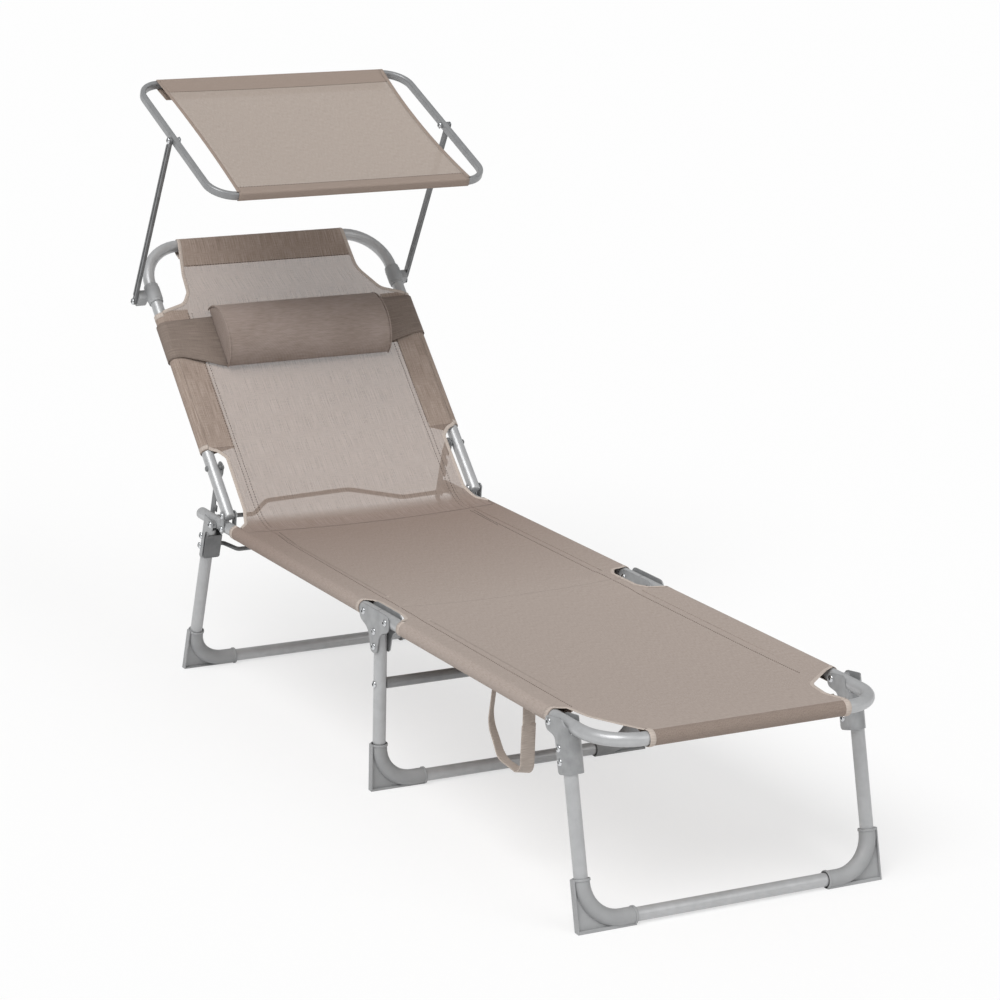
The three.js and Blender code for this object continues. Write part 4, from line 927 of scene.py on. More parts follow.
SEWING_THREAD = thread_finish()
FOOT_SLEEVE = (FOOT_BAR_Y + 0.15, FOOT_PIVOT_Y - 0.04)
SEAT_SLEEVE = (SEAT_PIVOT_Y + 0.02, RAIL_END_Y - 0.147)
FOOT_STRAIGHT = [(RAIL_SPAN, MIDDLE_Y + 0.2, 0), (RAIL_SPAN, FOOT_SLEEVE[0], 0.004)]
FOOT_EDGE_RIGHT = FOOT_STRAIGHT + [
    (0.232, FOOT_SLEEVE[0] - 0.01, 0.01), (0.17, -0.79, 0.03), (0.163, -0.84, 0.03), (0.178, FOOT_BAR_Y, 0)]
FOOT_EDGE_LEFT = FOOT_STRAIGHT + [
    (0.233, FOOT_SLEEVE[0] - 0.006, 0.01), (0.225, -0.785, 0.03), (0.196, -0.845, 0.03), (0.178, FOOT_BAR_Y, 0)]
HINGE_INNER_LEFT, HINGE_INNER_RIGHT = 0.2345, 0.209


def level_width(edge, inner, y):
    """The narrower of the foot's corner cut-out and the hinge's cut-out, which reaches in to "inner"."""
    step = (RAIL_SPAN - inner) * 0.68
    hinge = [(RAIL_SPAN, FOOT_SLEEVE[1] - 0.2, 0), (RAIL_SPAN, FOOT_SLEEVE[1], 0.003),
             (RAIL_SPAN - step, FOOT_SLEEVE[1] + 0.008, 0.008), (inner, FOOT_SLEEVE[1] + 0.03, 0.02),
             (inner, SEAT_SLEEVE[0] - 0.03, 0.02), (RAIL_SPAN - step, SEAT_SLEEVE[0] - 0.008, 0.008),
             (RAIL_SPAN, SEAT_SLEEVE[0], 0.003), (RAIL_SPAN, SEAT_SLEEVE[0] + 0.2, 0)]
    return np.minimum(width_at(edge, y), width_at(hinge, y))


def seat_sag(y):
    """The taut cloth dips most between the bars and not at all at the foot bar."""
    return 0.007 * np.sin(np.pi * np.clip((y - FOOT_BAR_Y) / 0.35, 0, 1) / 2) ** 2


y_foot = np.concatenate([np.linspace(FOOT_BAR_Y, FOOT_SLEEVE[0] + 0.01, 50),
                         np.linspace(FOOT_SLEEVE[0] + 0.015, FOOT_SLEEVE[1] - 0.01, 60),
                         np.linspace(FOOT_SLEEVE[1] - 0.006, MIDDLE_Y - 0.0001, 36)])
foot_left = level_width(FOOT_EDGE_LEFT, HINGE_INNER_LEFT, y_foot)
foot_right = level_width(FOOT_EDGE_RIGHT, HINGE_INNER_RIGHT, y_foot)
foot_sheet = sheet_grid(y_foot, foot_left, foot_right, level_lift, SEAM_X, seat_sag(y_foot))
# round the foot bar from a flap sewn underneath, by its outer side, to the sheet's first row
BAR_ROWS = 22
bar_swing = np.linspace(np.pi * 1.5, 0.12, BAR_ROWS)[:, None]
bar_x = foot_sheet[0, :, 0]
bar = np.stack(np.broadcast_arrays(
    bar_x, FOOT_BAR_Y - CLOTH_LIFT * np.sin(bar_swing), RAIL_HEIGHT + CLOTH_LIFT * np.cos(bar_swing)), -1)
flap = np.stack([bar_x, bar[0, :, 1] + 0.024, np.full(COLUMNS, RAIL_HEIGHT + CLOTH_LIFT - 0.0015)], -1)
foot_grid = np.concatenate([[flap], bar, foot_sheet[1:]])
zone = np.zeros((len(foot_grid) - 1, COLUMNS - 1), int)
zone[:BAR_ROWS] = 1
foot_cloth = add_grid("foot_cloth", foot_grid, grid_uv(foot_grid), zone)
seat_y = np.concatenate([np.linspace(MIDDLE_Y + 0.0001, SEAT_SLEEVE[0] + 0.01, 36),
                         np.linspace(SEAT_SLEEVE[0] + 0.015, FOLD_Y, 60)])
seat_left = level_width(FOOT_EDGE_LEFT, HINGE_INNER_LEFT, seat_y)
seat_right = level_width(FOOT_EDGE_RIGHT, HINGE_INNER_RIGHT, seat_y)
seat_grid = sheet_grid(seat_y, seat_left, seat_right, level_lift, SEAM_X, seat_sag(seat_y))
seat_cloth = add_grid("seat_cloth", seat_grid, grid_uv(seat_grid))

# the backrest's run of cloth, from the seat through the fold and up over the top bar
FOLD_CORNER = (0.43641, RAIL_HEIGHT + CLOTH_LIFT)
FOLD_RADIUS = 0.085
BACK_SLEEVE = (0.133, 0.434)
BACK_SEAM_X = 0.2
BACK_EDGE = [(RAIL_SPAN, -0.2, 0), (RAIL_SPAN, -0.052, 0.004), (0.235, -0.036, 0.01), (0.223, 0.0, 0.03),
             (0.222, 0.112, 0.012), (0.236, 0.128, 0.008), (RAIL_SPAN, 0.134, 0.003),
             (RAIL_SPAN, BACK_SLEEVE[1], 0.003)]
BACK_TOP_LEFT = [(0.203, 0.448, 0.022), (0.188, 0.472, 0.02), (0.186, 0.51, 0.05), (0.169, 0.6, 0)]
BACK_TOP_RIGHT = [(0.205, 0.449, 0.028), (0.17, 0.5, 0.05), (0.169, 0.6, 0)]
BACK_BOW = 0.006
SEAT_DIP = 0.007
run = rounded_path([(0, FOLD_Y, RAIL_HEIGHT + CLOTH_LIFT, 0), (0, *FOLD_CORNER, FOLD_RADIUS),
                    (0, *on_backrest([(0, -CLOTH_LIFT, BACK_LENGTH)])[0, 1:], 0)], 16)
fine = distance_along(run)
total = fine[-1]
station = np.concatenate([np.linspace(0, 0.24, 70), np.linspace(0.245, total - 0.17, 60),
                          np.linspace(total - 0.167, total, 50)])
line_y, line_z = np.interp(station, fine, run[:, 1]), np.interp(station, fine, run[:, 2])
t_of = BACK_LENGTH - (total - station)
back_left = width_at(BACK_EDGE + BACK_TOP_LEFT, t_of)
back_right = width_at(BACK_EDGE + BACK_TOP_RIGHT, t_of)
back_x = spread_columns(back_left, back_right, BACK_SEAM_X)
share = np.where(back_x < 0, back_x / back_left[:, None], back_x / back_right[:, None])
bow = np.where(t_of < -0.02, 0, BACK_BOW * np.sin(np.pi * np.clip((t_of + 0.03) / 0.6, 0, 1)))
push = bow[:, None] * (1 - share ** 2)
fall = np.clip(station / 0.11, 0, 1)
dip = (1 - fall ** 2 * (3 - 2 * fall))[:, None] * SEAT_DIP * (1 - share ** 2)
back_grid = np.stack([back_x, line_y[:, None] + push * np.cos(BACK_ANGLE),
                      line_z[:, None] + push * np.sin(BACK_ANGLE) - dip], -1)
top_turn = [(-CLOTH_LIFT * np.cos(turn), BACK_LENGTH + CLOTH_LIFT * np.sin(turn))
            for turn in np.linspace(0.12, np.pi, 14)]
hem = [(0.0118, 0.576), (0.006, 0.56), (-0.004, 0.545), (-0.0098, 0.532)]
over_top = [on_backrest(np.stack(np.broadcast_arrays(back_x[-1], n, t), -1)) for n, t in top_turn + hem]
back_grid = np.concatenate([back_grid, over_top])
zone = np.zeros((len(back_grid) - 1, COLUMNS - 1), int)
zone[np.searchsorted(t_of, 0.53):] = 1
sleeved = slice(*np.searchsorted(t_of, BACK_SLEEVE))
zone[sleeved, :BAND_COLUMNS] = 1
zone[sleeved, -BAND_COLUMNS:] = 1
back_cloth = add_grid("backrest_cloth", back_grid, grid_uv(back_grid), zone)


def sleeve_piece(name, x_rail, stations, lift, seam, zone, along):
    """One sleeve on the same rows as its sheet, whose edge it continues."""
    points = sleeve_grid(x_rail, stations, lift, seam)
    if x_rail < 0:
        points = points[:, ::-1]
    uv = grid_uv(points)
    uv[..., 1] += along
    return add_grid(name, points, uv, np.full((points.shape[0] - 1, points.shape[1] - 1), zone))


for cloth, grid, rows, halves, spans, lift, seam, mesh in (
        (foot_cloth, foot_grid[BAR_ROWS + 1:], y_foot[1:], (foot_left[1:], foot_right[1:]), FOOT_SLEEVE,
         level_lift, SEAM_X, FOOT_MESH),
        (seat_cloth, seat_grid, seat_y, (seat_left, seat_right), SEAT_SLEEVE,
         level_lift, SEAM_X, SEAT_MESH),
        (back_cloth, back_grid, t_of, (back_left, back_right), BACK_SLEEVE, back_lift, BACK_SEAM_X,
         BACK_MESH)):
    flat = grid_uv(grid)
    sleeves = []
    for x_rail, half in zip((-RAIL_SPAN, RAIL_SPAN), halves):
        full = np.nonzero((half > RAIL_SPAN - 1e-6) & (rows > spans[0]) & (rows < spans[1]))[0]
        beyond = np.linspace(rows[full[-1]], spans[1], 9)[1:]
        stations = np.concatenate([[spans[0]], rows[full], beyond])
        sleeves.append(sleeve_piece(f"{cloth.name}_sleeve", x_rail, stations, lift, seam,
                                    1 if cloth is back_cloth else 0, flat[full[0], 0, 1]))
    for piece in (cloth, *sleeves):
        piece.data.materials.append(mesh)
        piece.data.materials.append(BAR_MESH if cloth is foot_cloth else SLEEVE_MESH)
    joined_piece(cloth.name, [cloth, *sleeves])
    work = bmesh.new()
    work.from_mesh(cloth.data)
    bmesh.ops.remove_doubles(work, verts=work.verts, dist=2e-5)
    work.to_mesh(cloth.data)
    work.free()


def cloth_area(piece):
    """The cut cloth's flat area, from its mesh before it is given a thickness."""
    areas = np.empty(len(piece.data.polygons))
    piece.data.polygons.foreach_get("area", areas)
    return float(areas.sum())


# bindings on every cut edge, and the seams' stitches
UP = (0.0, 0.0, 1.0)
BACK_OUT, BACK_UP = on_backrest([(0, -1, 0), (0, 0, 1)]) - on_backrest([(0, 0, 0)])
TAPE_HALF = 0.0034
BAR_TAPE_HALF = 0.005
BAR_TAPE_INSET = np.array((0.0035, 0, 0))


def edge_of(grid, column, rows):
    """One column of a sheet, over some of its rows."""
    return grid[rows][:, column]


def bindings(name, edges, normals, bar_tape=0.0):
    """Tapes on several edges as one piece. The last two have half the width "bar_tape", if it is given."""
    made = []
    for k, (edge, normal) in enumerate(zip(edges, normals)):
        wide = bar_tape if bar_tape and k >= len(edges) - 2 else TAPE_HALF
        points, uv = binding_grid(edge, normal, wide)
        made.append(add_grid(f"{name}_{k}", points, uv, thickness=0))
    piece = joined_piece(name, made) if len(made) > 1 else made[0]
    piece.name = name
    piece.data.materials.append(BINDING_TAPE)
    return piece


bar_turn = np.append(bar_swing, 0.0)
bar_out = np.stack([np.zeros(BAR_ROWS + 1), -np.sin(bar_turn), np.cos(bar_turn)], -1)
bar_rows = np.arange(1, BAR_ROWS + 2)
foot_rows = np.arange(BAR_ROWS + 1, len(foot_grid))
corner_rows = foot_rows[foot_grid[foot_rows, CENTRE, 1] < FOOT_SLEEVE[0] + 0.004]
hinge_rows = foot_rows[foot_grid[foot_rows, CENTRE, 1] > FOOT_SLEEVE[1] - 0.004]
foot_binding = bindings("foot_binding", [
    edge_of(foot_grid, 0, corner_rows), edge_of(foot_grid, -1, corner_rows),
    edge_of(foot_grid, 0, hinge_rows), edge_of(foot_grid, -1, hinge_rows),
    edge_of(foot_grid, 0, bar_rows) + BAR_TAPE_INSET, edge_of(foot_grid, -1, bar_rows) - BAR_TAPE_INSET,
], [UP] * 4 + [bar_out] * 2, BAR_TAPE_HALF)
seat_rows = np.arange(len(seat_grid))
near_hinge = seat_rows[seat_y < SEAT_SLEEVE[0] + 0.004]
seat_binding = bindings("seat_binding", [
    edge_of(seat_grid, 0, near_hinge), edge_of(seat_grid, -1, near_hinge)], [UP] * 2)
low_rows = np.nonzero(t_of < BACK_SLEEVE[0] + 0.004)[0]
low_rows = low_rows[t_of[low_rows] > -0.054]
high_rows = np.arange(np.searchsorted(t_of, BACK_SLEEVE[1] - 0.003), len(back_grid) - 2)
back_binding = bindings("backrest_binding", [
    edge_of(back_grid, 0, low_rows), edge_of(back_grid, -1, low_rows),
    edge_of(back_grid, 0, high_rows), edge_of(back_grid, -1, high_rows)], [BACK_OUT] * 4)


def ring_tape(name, x_rail, station, lift, seam):
    """Binding on a sleeve's end: a short tape carried round just inside it, between two stations."""
    grid = sleeve_grid(x_rail, np.linspace(*station, 3), lift, seam, CLOTH_LIFT + 0.0005)
    if x_rail > 0:
        grid = grid[:, ::-1]
    made = add_grid(name, grid, grid_uv(grid)[..., ::-1], thickness=0.0008)
    made.data.materials.append(BINDING_TAPE)
    return made


RING_WIDTH = 0.01
RING_INSET = 0.0015


def with_rings(binding, name, spans, lift, seam):
    """A binding joined with the tapes at both ends of both its sleeves."""
    ends = ((spans[0] + RING_INSET, spans[0] + RING_WIDTH), (spans[1] - RING_WIDTH, spans[1]))
    rings = [ring_tape(f"{name}_ring", x, end, lift, seam)
             for x in (-RAIL_SPAN, RAIL_SPAN) for end in ends]
    for ring in rings:
        bpy.context.view_layer.objects.active = ring
        ring.select_set(True)
        bpy.ops.object.modifier_apply(modifier="cloth_thickness")
        ring.select_set(False)
    return joined_piece(binding.name, [binding, *rings])


foot_binding = with_rings(foot_binding, "foot", FOOT_SLEEVE, level_lift, SEAM_X)
seat_binding = with_rings(seat_binding, "seat", SEAT_SLEEVE, level_lift, SEAM_X)
back_binding = with_rings(back_binding, "backrest", BACK_SLEEVE, back_lift, BACK_SEAM_X)


def on_sheet(grid, x, rows, lift):
    """The line at distance x from the middle on a sheet, raised by lift along Z or the backrest's front."""
    places = np.broadcast_to(x, len(rows))
    line = np.array([[np.interp(place, grid[row, :, 0], grid[row, :, k]) for k in range(3)]
                     for row, place in zip(rows, places)])
    return line + np.asarray(lift)


def stitches(name, rows_of_lines):
    """One piece from stitch lines, each a path and its normal."""
    surface = gathered([stitch_row(line, normal) for line, normal in rows_of_lines])
    piece = add_object(name, *surface, smooth_angle=0.3)
    piece.data.materials.append(SEWING_THREAD)
    return piece


half_cloth = CLOTH_THICKNESS / 2


def level_seams(grid, rows, *seams):
    """Stitch lines on a level sheet. Each seam is some places y and its distances from the middle there."""
    y = grid[rows, CENTRE, 1]
    return [(on_sheet(grid, np.interp(y, *seam), rows, (0, 0, half_cloth)), UP) for seam in seams]


stitched = foot_rows[1::3]
stitched = stitched[foot_grid[stitched, CENTRE, 1] > -0.74]
foot_stitches = stitches("foot_stitches", level_seams(
    foot_grid, stitched, ((-0.74, 0.385), (-0.224, -0.212)), ((-0.74, 0.385), (0.188, 0.193))))
stitched = seat_rows[::3]
seat_lines = level_seams(seat_grid, stitched, ((-0.74, 0.3, 0.385), (-0.224, -0.212, -0.202)),
                         ((-0.74, 0.3, 0.385), (0.188, 0.193, 0.2)))
stitched = stitched[seat_y[stitched] > 0.24]
seat_lines += level_seams(seat_grid, stitched, ((0.24, 0.385), (-0.208, -0.194)),
                          ((0.24, 0.385), (0.187, 0.192)))
seat_stitches = stitches("seat_stitches", seat_lines)
back_raise = BACK_OUT * half_cloth
body_rows = np.arange(0, np.searchsorted(t_of, BACK_SLEEVE[1]), 2)
back_lines = [(on_sheet(back_grid, x, body_rows, back_raise), BACK_OUT)
              for x in (-0.202, BACK_SEAM_X, -0.194, 0.192)]
seam_row = int(np.searchsorted(t_of, 0.53))
back_lines.append((back_grid[seam_row] + back_raise, BACK_OUT))
back_stitches = stitches("backrest_stitches", back_lines)

SPREAD_Z = RAIL_HEIGHT + CLOTH_LIFT
wrap = sleeve_grid(RAIL_SPAN, [0.0], level_lift, SEAM_X - 0.005)[0]
SLEEVED_WIDTH = 2 * (RAIL_SPAN + float(distance_along(wrap)[-1]))
FOOT_BLEND = ("foot_section", "middle", (0, FOOT_PIVOT_Y - 0.03, SPREAD_Z), (0, MIDDLE_Y - 0.004, SPREAD_Z))
SEAT_BLEND = ("middle", "seat", (0, MIDDLE_Y + 0.004, SPREAD_Z), (0, SEAT_PIVOT_Y + 0.015, SPREAD_Z))
BACK_BLEND = ("seat", "backrest", (0, 0.395, SPREAD_Z), (0, 0.54, 0.44))
for piece, pieces, node, blend, slot, rests, grid in (
        (foot_cloth, (foot_binding, foot_stitches), "sling_foot", FOOT_BLEND, "seat_mesh", "foot_tube",
         foot_grid),
        (seat_cloth, (seat_binding, seat_stitches), "sling_seat", SEAT_BLEND, "seat_mesh", "seat_tube_left",
         seat_grid),
        (back_cloth, (back_binding, back_stitches), "sling_backrest", BACK_BLEND, "backrest_mesh",
         "backrest_tube", back_grid)):
    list(blend)
    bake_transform(piece)
    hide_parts(node)
    for extra in pieces:
        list(blend)
        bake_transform(extra)
    area = cloth_area(piece)
    flat = (round(SLEEVED_WIDTH, 3), round(float(grid_uv(grid)[-1, 0, 1]), 3))
    list(pieces)

# Carry handle
# A loop of ribbed webbing under the left rail, its two ends sewn into the foot section's sleeve.

HANDLE_WIDTH = 0.026
HANDLE_X = -(RAIL_SPAN - 0.0065 - HANDLE_WIDTH / 2)
handle_route = rounded_path([
    (HANDLE_X, FOOT_BAR_Y + 0.262, RAIL_HEIGHT - 0.0118, 0),
    (HANDLE_X, FOOT_BAR_Y + 0.262, RAIL_HEIGHT - 0.05, 0.03),
    (HANDLE_X, FOOT_BAR_Y + 0.265, RAIL_HEIGHT - 0.135, 0.021),
    (HANDLE_X, FOOT_BAR_Y + 0.345, RAIL_HEIGHT - 0.13, 0.04),
    (HANDLE_X, FOOT_BAR_Y + 0.386, RAIL_HEIGHT - 0.08, 0.04),
    (HANDLE_X, FOOT_BAR_Y + 0.372, RAIL_HEIGHT - 0.0118, 0),
], 10)
WEBBING = tape_finish("ribbed_webbing", "a3978e", "c0b6ad")
across = np.linspace(-HANDLE_WIDTH / 2, HANDLE_WIDTH / 2, 9)
# the strap twists along its way: its width turns from the first strand's angle to the last one's
tangent = np.gradient(handle_route, axis=0)
tangent /= np.linalg.norm(tangent, axis=1)[:, None]
run_share = np.linspace(0, 1, len(handle_route))
twist = np.radians(-15 + 61 * run_share ** 2 * (3 - 2 * run_share))[:, None]
wide = np.cos(twist) * (1.0, 0, 0) + np.sin(twist) * np.cross(tangent, (1.0, 0, 0))
handle_grid = handle_route[:, None] + across[None, :, None] * wide[:, None]
handle = add_grid("webbing_handle", handle_grid, grid_uv(handle_grid), thickness=0.0016)
soften(handle, 0.0005)
dress(handle, WEBBING, "foot_section", "webbing", "carry_handle")
handle_length = float(distance_along(handle_route)[-1])

# Head cushion and its band
# A foam bolster, round in front and flat behind, in a closer cloth with sewn end panels. A wide band
# of the same cloth is sewn to its back and goes round both backrest tubes.

BOLSTER_ENDS = (-0.163, 0.170)
BOLSTER_MIDDLE = 0.365
BOLSTER_HALF_HEIGHT = 0.065
BOLSTER_DEPTH = 0.052
BOLSTER_BACK = CLOTH_LIFT + 0.0045


def padded_cloth_finish(name, low, high):
    """Coated yarn woven close, threads 1 mm apart drawn 1.6 mm apart so that they show, stretched over
    foam: matt, with a soft rub mark here and there."""
    material, tree = bare_material(name)
    place = add_node(tree, "ShaderNodeTexCoord").outputs["Object"]
    threads = noise(tree, stretched(tree, place, (60.0, 420.0, 420.0)), 1.0, 3.0)
    worn = noise(tree, place, 14.0, 3.0)
    both = add_node(tree, "ShaderNodeMix", {0: 0.45, 2: threads, 3: worn}).outputs[0]
    weave = add_node(tree, "ShaderNodeTexWave", {
        "Vector": place, "Scale": 100.0, "Distortion": 1.5, "Detail": 1.0}, bands_direction="DIAGONAL")
    principled(tree, {"Base Color": between(tree, both, low, high, 0.32, 0.68), "Roughness": 0.85},
               relief(tree, weave.outputs["Fac"], 0.35))
    return material


PILLOW_CLOTH = padded_cloth_finish("bolster_close_weave", "877970", "9e9089")


def bolster_section(shrink=0.0, steps=25):
    """A half ellipse in front and a flat back, as (in front, up) pairs."""
    swing = np.linspace(np.pi / 2, -np.pi / 2, steps)
    deep, high = BOLSTER_DEPTH - shrink, BOLSTER_HALF_HEIGHT - shrink
    front = np.stack([deep * np.cos(swing), high * np.sin(swing)], -1)
    flat = np.linspace(-1, 1, 12)[1:-1] * high
    return np.concatenate([front, np.stack([np.zeros(10), flat], -1)])


def bolster_place(x, section):
    """A section of the bolster at distance x from the middle."""
    forward, up = section.T
    rows = np.broadcast_arrays(x, -BOLSTER_BACK - forward, BOLSTER_MIDDLE + up)
    return on_backrest(np.stack(rows, -1))


def swell(piece, voxel, pressure, cap, pinned):
    """Blows a piece up: it is remeshed, then Blender's Cloth runs 20 frames under pressure with no gravity,
    held where "pinned" says, and each point's way is cut to the cap. The same every time it is run."""
    bpy.context.view_layer.objects.active = piece
    remesh = piece.modifiers.new("remesh", "REMESH")
    remesh.mode = "VOXEL"
    remesh.voxel_size = voxel
    bpy.ops.object.modifier_apply(modifier="remesh")
    before = np.empty(len(piece.data.vertices) * 3)
    piece.data.vertices.foreach_get("co", before)
    before = before.reshape(-1, 3)
    group = piece.vertex_groups.new(name="sewn")
    group.add(np.nonzero(pinned(before))[0].tolist(), 1.0, "REPLACE")
    cloth = piece.modifiers.new("air", "CLOTH")
    cloth.settings.use_pressure = True
    cloth.settings.uniform_pressure_force = pressure
    cloth.settings.effector_weights.gravity = 0
    cloth.settings.vertex_group_mass = "sewn"
    cloth.settings.quality = 6
    for number in range(1, 21):
        bpy.context.scene.frame_set(number)
    blown = piece.evaluated_get(bpy.context.evaluated_depsgraph_get())
    after = np.empty_like(before)
    flat = after.ravel()
    blown.data.vertices.foreach_get("co", flat)
    after = flat.reshape(-1, 3)
    piece.modifiers.remove(cloth)
    piece.vertex_groups.remove(group)
    bpy.context.scene.frame_set(1)
    way = after - before
    length = np.linalg.norm(way, axis=1)[:, None]
    moved = before + way * np.minimum(1, cap / np.maximum(length, 1e-9))
    piece.data.vertices.foreach_set("co", moved.ravel())


stations = np.linspace(BOLSTER_ENDS[0], BOLSTER_ENDS[1], 40)
section = bolster_section(0.0005)
points = np.concatenate([bolster_place(x, section) for x in stations])
faces = ring_faces(len(stations), len(section)).tolist()
faces += [list(range(len(section)))[::-1], list(range(len(points) - len(section), len(points)))]
bolster = add_object("head_bolster", points, faces, smooth_angle=1.2)


def sewn(places):
    """The end seams and the flat back, which the band holds."""
    end = np.minimum(np.abs(places[:, 0] - BOLSTER_ENDS[0]), np.abs(places[:, 0] - BOLSTER_ENDS[1]))
    depth = (places - on_backrest([(0, -BOLSTER_BACK, 0)])) @ BACK_OUT
    up = (places - on_backrest([(0, 0, BOLSTER_MIDDLE)])) @ BACK_UP
    rim = np.hypot(depth / BOLSTER_DEPTH, up / BOLSTER_HALF_HEIGHT) > 0.88
    return ((end < 0.005) & rim) | (depth < 0.003)


swell(bolster, 0.005, 4.0, 0.005, sewn)
bolster.data.shade_smooth()
finer = bolster.modifiers.new("finer", "SUBSURF")
finer.levels = finer.render_levels = 1
dress(bolster, PILLOW_CLOTH, "headrest", "pillow_cloth", "headrest_pillow")
welts = []
for x, towards in ((BOLSTER_ENDS[0], -1), (BOLSTER_ENDS[1], 1)):
    seam = bolster_place(x - towards * 0.001, bolster_section(0.0016, 41)[:41])
    welts.append(carried(circle(0.0016, 8), seam, (1, 0, 0)))
welt = add_object("bolster_welts", *gathered(welts))
dress(welt, PILLOW_CLOTH, "headrest", "pillow_cloth")

BAND_CLOTH = mesh_cloth_finish("band_close_weave", "74675e", "887b72", 0.0)
BAND_FACE = CLOTH_LIFT + 0.0026
BAND_SLACK = 0.0016
BAND_EDGES = [(-0.264, 0.333, 0.411), (-0.24, 0.331, 0.412), (-0.165, 0.304, 0.414), (-0.1, 0.31, 0.416),
              (0.1, 0.315, 0.42), (0.172, 0.322, 0.424), (0.24, 0.341, 0.426), (0.264, 0.343, 0.426)]
swing = np.linspace(0, np.pi, 18)
run_x = np.concatenate([np.linspace(0, RAIL_SPAN, 26), RAIL_SPAN + BAND_FACE * np.sin(swing[1:-1]),
                        np.linspace(RAIL_SPAN, 0, 14)])
run_n = np.concatenate([np.full(26, -BAND_FACE), -BAND_FACE * np.cos(swing[1:-1]), np.full(14, BAND_FACE)])
loop_x = np.concatenate([run_x, -run_x[::-1][1:]])
loop_n = np.concatenate([run_n, run_n[::-1][1:]])
edges = np.array(BAND_EDGES)
behind = loop_n > 0
low = np.where(behind, 0.338 + loop_x * 0.02, np.interp(loop_x, edges[:, 0], edges[:, 1]))
high = np.where(behind, 0.4185 + loop_x * 0.028, np.interp(loop_x, edges[:, 0], edges[:, 2]))
share = np.linspace(0, 1, 11)[:, None]
band_t = low + (high - low) * share
beside = np.sin(np.clip((np.abs(loop_x) - 0.165) / 0.086, 0, 1) * np.pi)
slack = np.where(behind, 0, BAND_SLACK * beside) * (1 - share)
band_points = np.stack([np.broadcast_to(loop_x, band_t.shape), loop_n - slack, band_t], -1)
band_grid = on_backrest(band_points.reshape(-1, 3)).reshape(band_points.shape)
band = add_grid("headrest_band", band_grid, grid_uv(band_grid)[..., ::-1], thickness=0.0011)
dress(band, BAND_CLOTH, "headrest", "elastic_band", "headrest_strap")
around = float(distance_along(band_grid[5])[-1])
cloth_area(band)

# Canopy clamps and struts
# Two moulded sleeves clamp the backrest tubes. A bolt in each one's ear carries a flat strut of folded
# steel with a groove down its face.

CLAMP_REACH = 0.462
BOLT_REACH, BOLT_BACK = 0.485, 0.0229
STRUT_X = (0.279, 0.285)
STRUT_LENGTH = 0.366
STRUT_PIVOT = (0.823248, 0.655006)
STRUT_ANGLE = np.radians(27.3)
STRUT_HALF, GROOVE_HALF, RIM_DEPTH = 0.006, 0.0022, 0.0012
EAR_RADIUS = 0.009
EAR_END = 0.2787
ring = TUBE_RADIUS + 0.0026
COLLAR = [(0, TUBE_RADIUS), (0, ring - 0.001), (0.001, ring), (0.006, ring), (0.007, ring + 0.0008),
          (0.033, ring + 0.0008), (0.034, ring), (0.039, ring), (0.04, ring - 0.001), (0.04, TUBE_RADIUS)]
swing = np.linspace(-np.pi / 2, np.pi / 2, 13)
round_end = np.stack([BOLT_BACK + EAR_RADIUS * np.cos(swing), BOLT_REACH + EAR_RADIUS * np.sin(swing)], -1)
EAR = np.concatenate([[(0.0, BOLT_REACH - EAR_RADIUS)], round_end, [(0.0, BOLT_REACH + EAR_RADIUS)]])
swing = np.linspace(0, np.pi, 13)
half_round = STRUT_HALF * np.stack([np.cos(swing), np.sin(swing)], -1)
STRUT_OUTLINE = np.concatenate([half_round + (0, STRUT_LENGTH), -half_round])


def sideways(pairs, x):
    """Pairs of (y, z) at one distance x."""
    return np.stack([np.full(len(pairs), x), pairs[:, 0], pairs[:, 1]], -1)


for name, side in SIDES:
    rail = side * RAIL_SPAN
    ends = sorted((rail + side * (TUBE_RADIUS - 0.001), side * EAR_END))
    collar = turned_on(COLLAR, (rail, 0, CLAMP_REACH), (0, 0, 1))
    points, faces = gathered([collar, extruded(EAR, *ends, sideways)])
    clamp = soften(add_object(f"clamp_{name}", on_backrest(points), faces), 0.0008)
    dress(clamp, MOULDED_PLASTIC, "backrest", "grey_plastic", f"canopy_clamp_{name}")
    bolt = rivet_piece(f"clamp_bolt_{name}", [(side * 0.2615, side * 0.2855, *STRUT_PIVOT)])
    dress(bolt, None, "backrest", "bright_steel", f"strut_bolt_{name}")

    back, face = STRUT_X[0], STRUT_X[1] - RIM_DEPTH
    strut_parts = [extruded(STRUT_OUTLINE, *sorted((side * back, side * face)), sideways)]
    for low, high in ((-STRUT_HALF, -GROOVE_HALF), (GROOVE_HALF, STRUT_HALF)):
        rim = [(low, 0.012), (high, 0.012), (high, STRUT_LENGTH - 0.012), (low, STRUT_LENGTH - 0.012)]
        strut_parts.append(extruded(rim, *sorted((side * (face - 0.0002), side * STRUT_X[1])), sideways))
    points, faces = gathered(strut_parts)
    strut = add_object(f"strut_{name}", placed(points, *STRUT_PIVOT, STRUT_ANGLE), faces)
    soften(strut, 0.0005)
    # the struts take the darker grey coat, which is painted shade
    dress(strut, PAINTED_SHADE_COAT, "canopy_struts", "pressed_steel", f"canopy_strut_{name}")

# Canopy
# A loop of flat-sided tube holds one sheet of the same mesh, turned round its front and rear bars and
# sewn to itself. Bolts with nuts inside pivot it on the struts.

CANOPY_PIVOT = (0.655382, 0.980240)
CANOPY_ANGLE = np.radians(22.7)
CANOPY_SPAN, CANOPY_REACH = 0.2735, 0.1943
CANOPY_BEND = 0.047
HALF_WIDE, HALF_DEEP = 0.005, 0.0075
CANOPY_COAT = powder_coat_finish("canopy_grey_powder_coat", "8e8f90", "969798")


def on_canopy(points):
    """Points of the canopy's own frame, whose z is its outer face's way."""
    points = np.asarray(points, float)
    return placed(points.reshape(-1, 3), *CANOPY_PIVOT, CANOPY_ANGLE).reshape(points.shape)


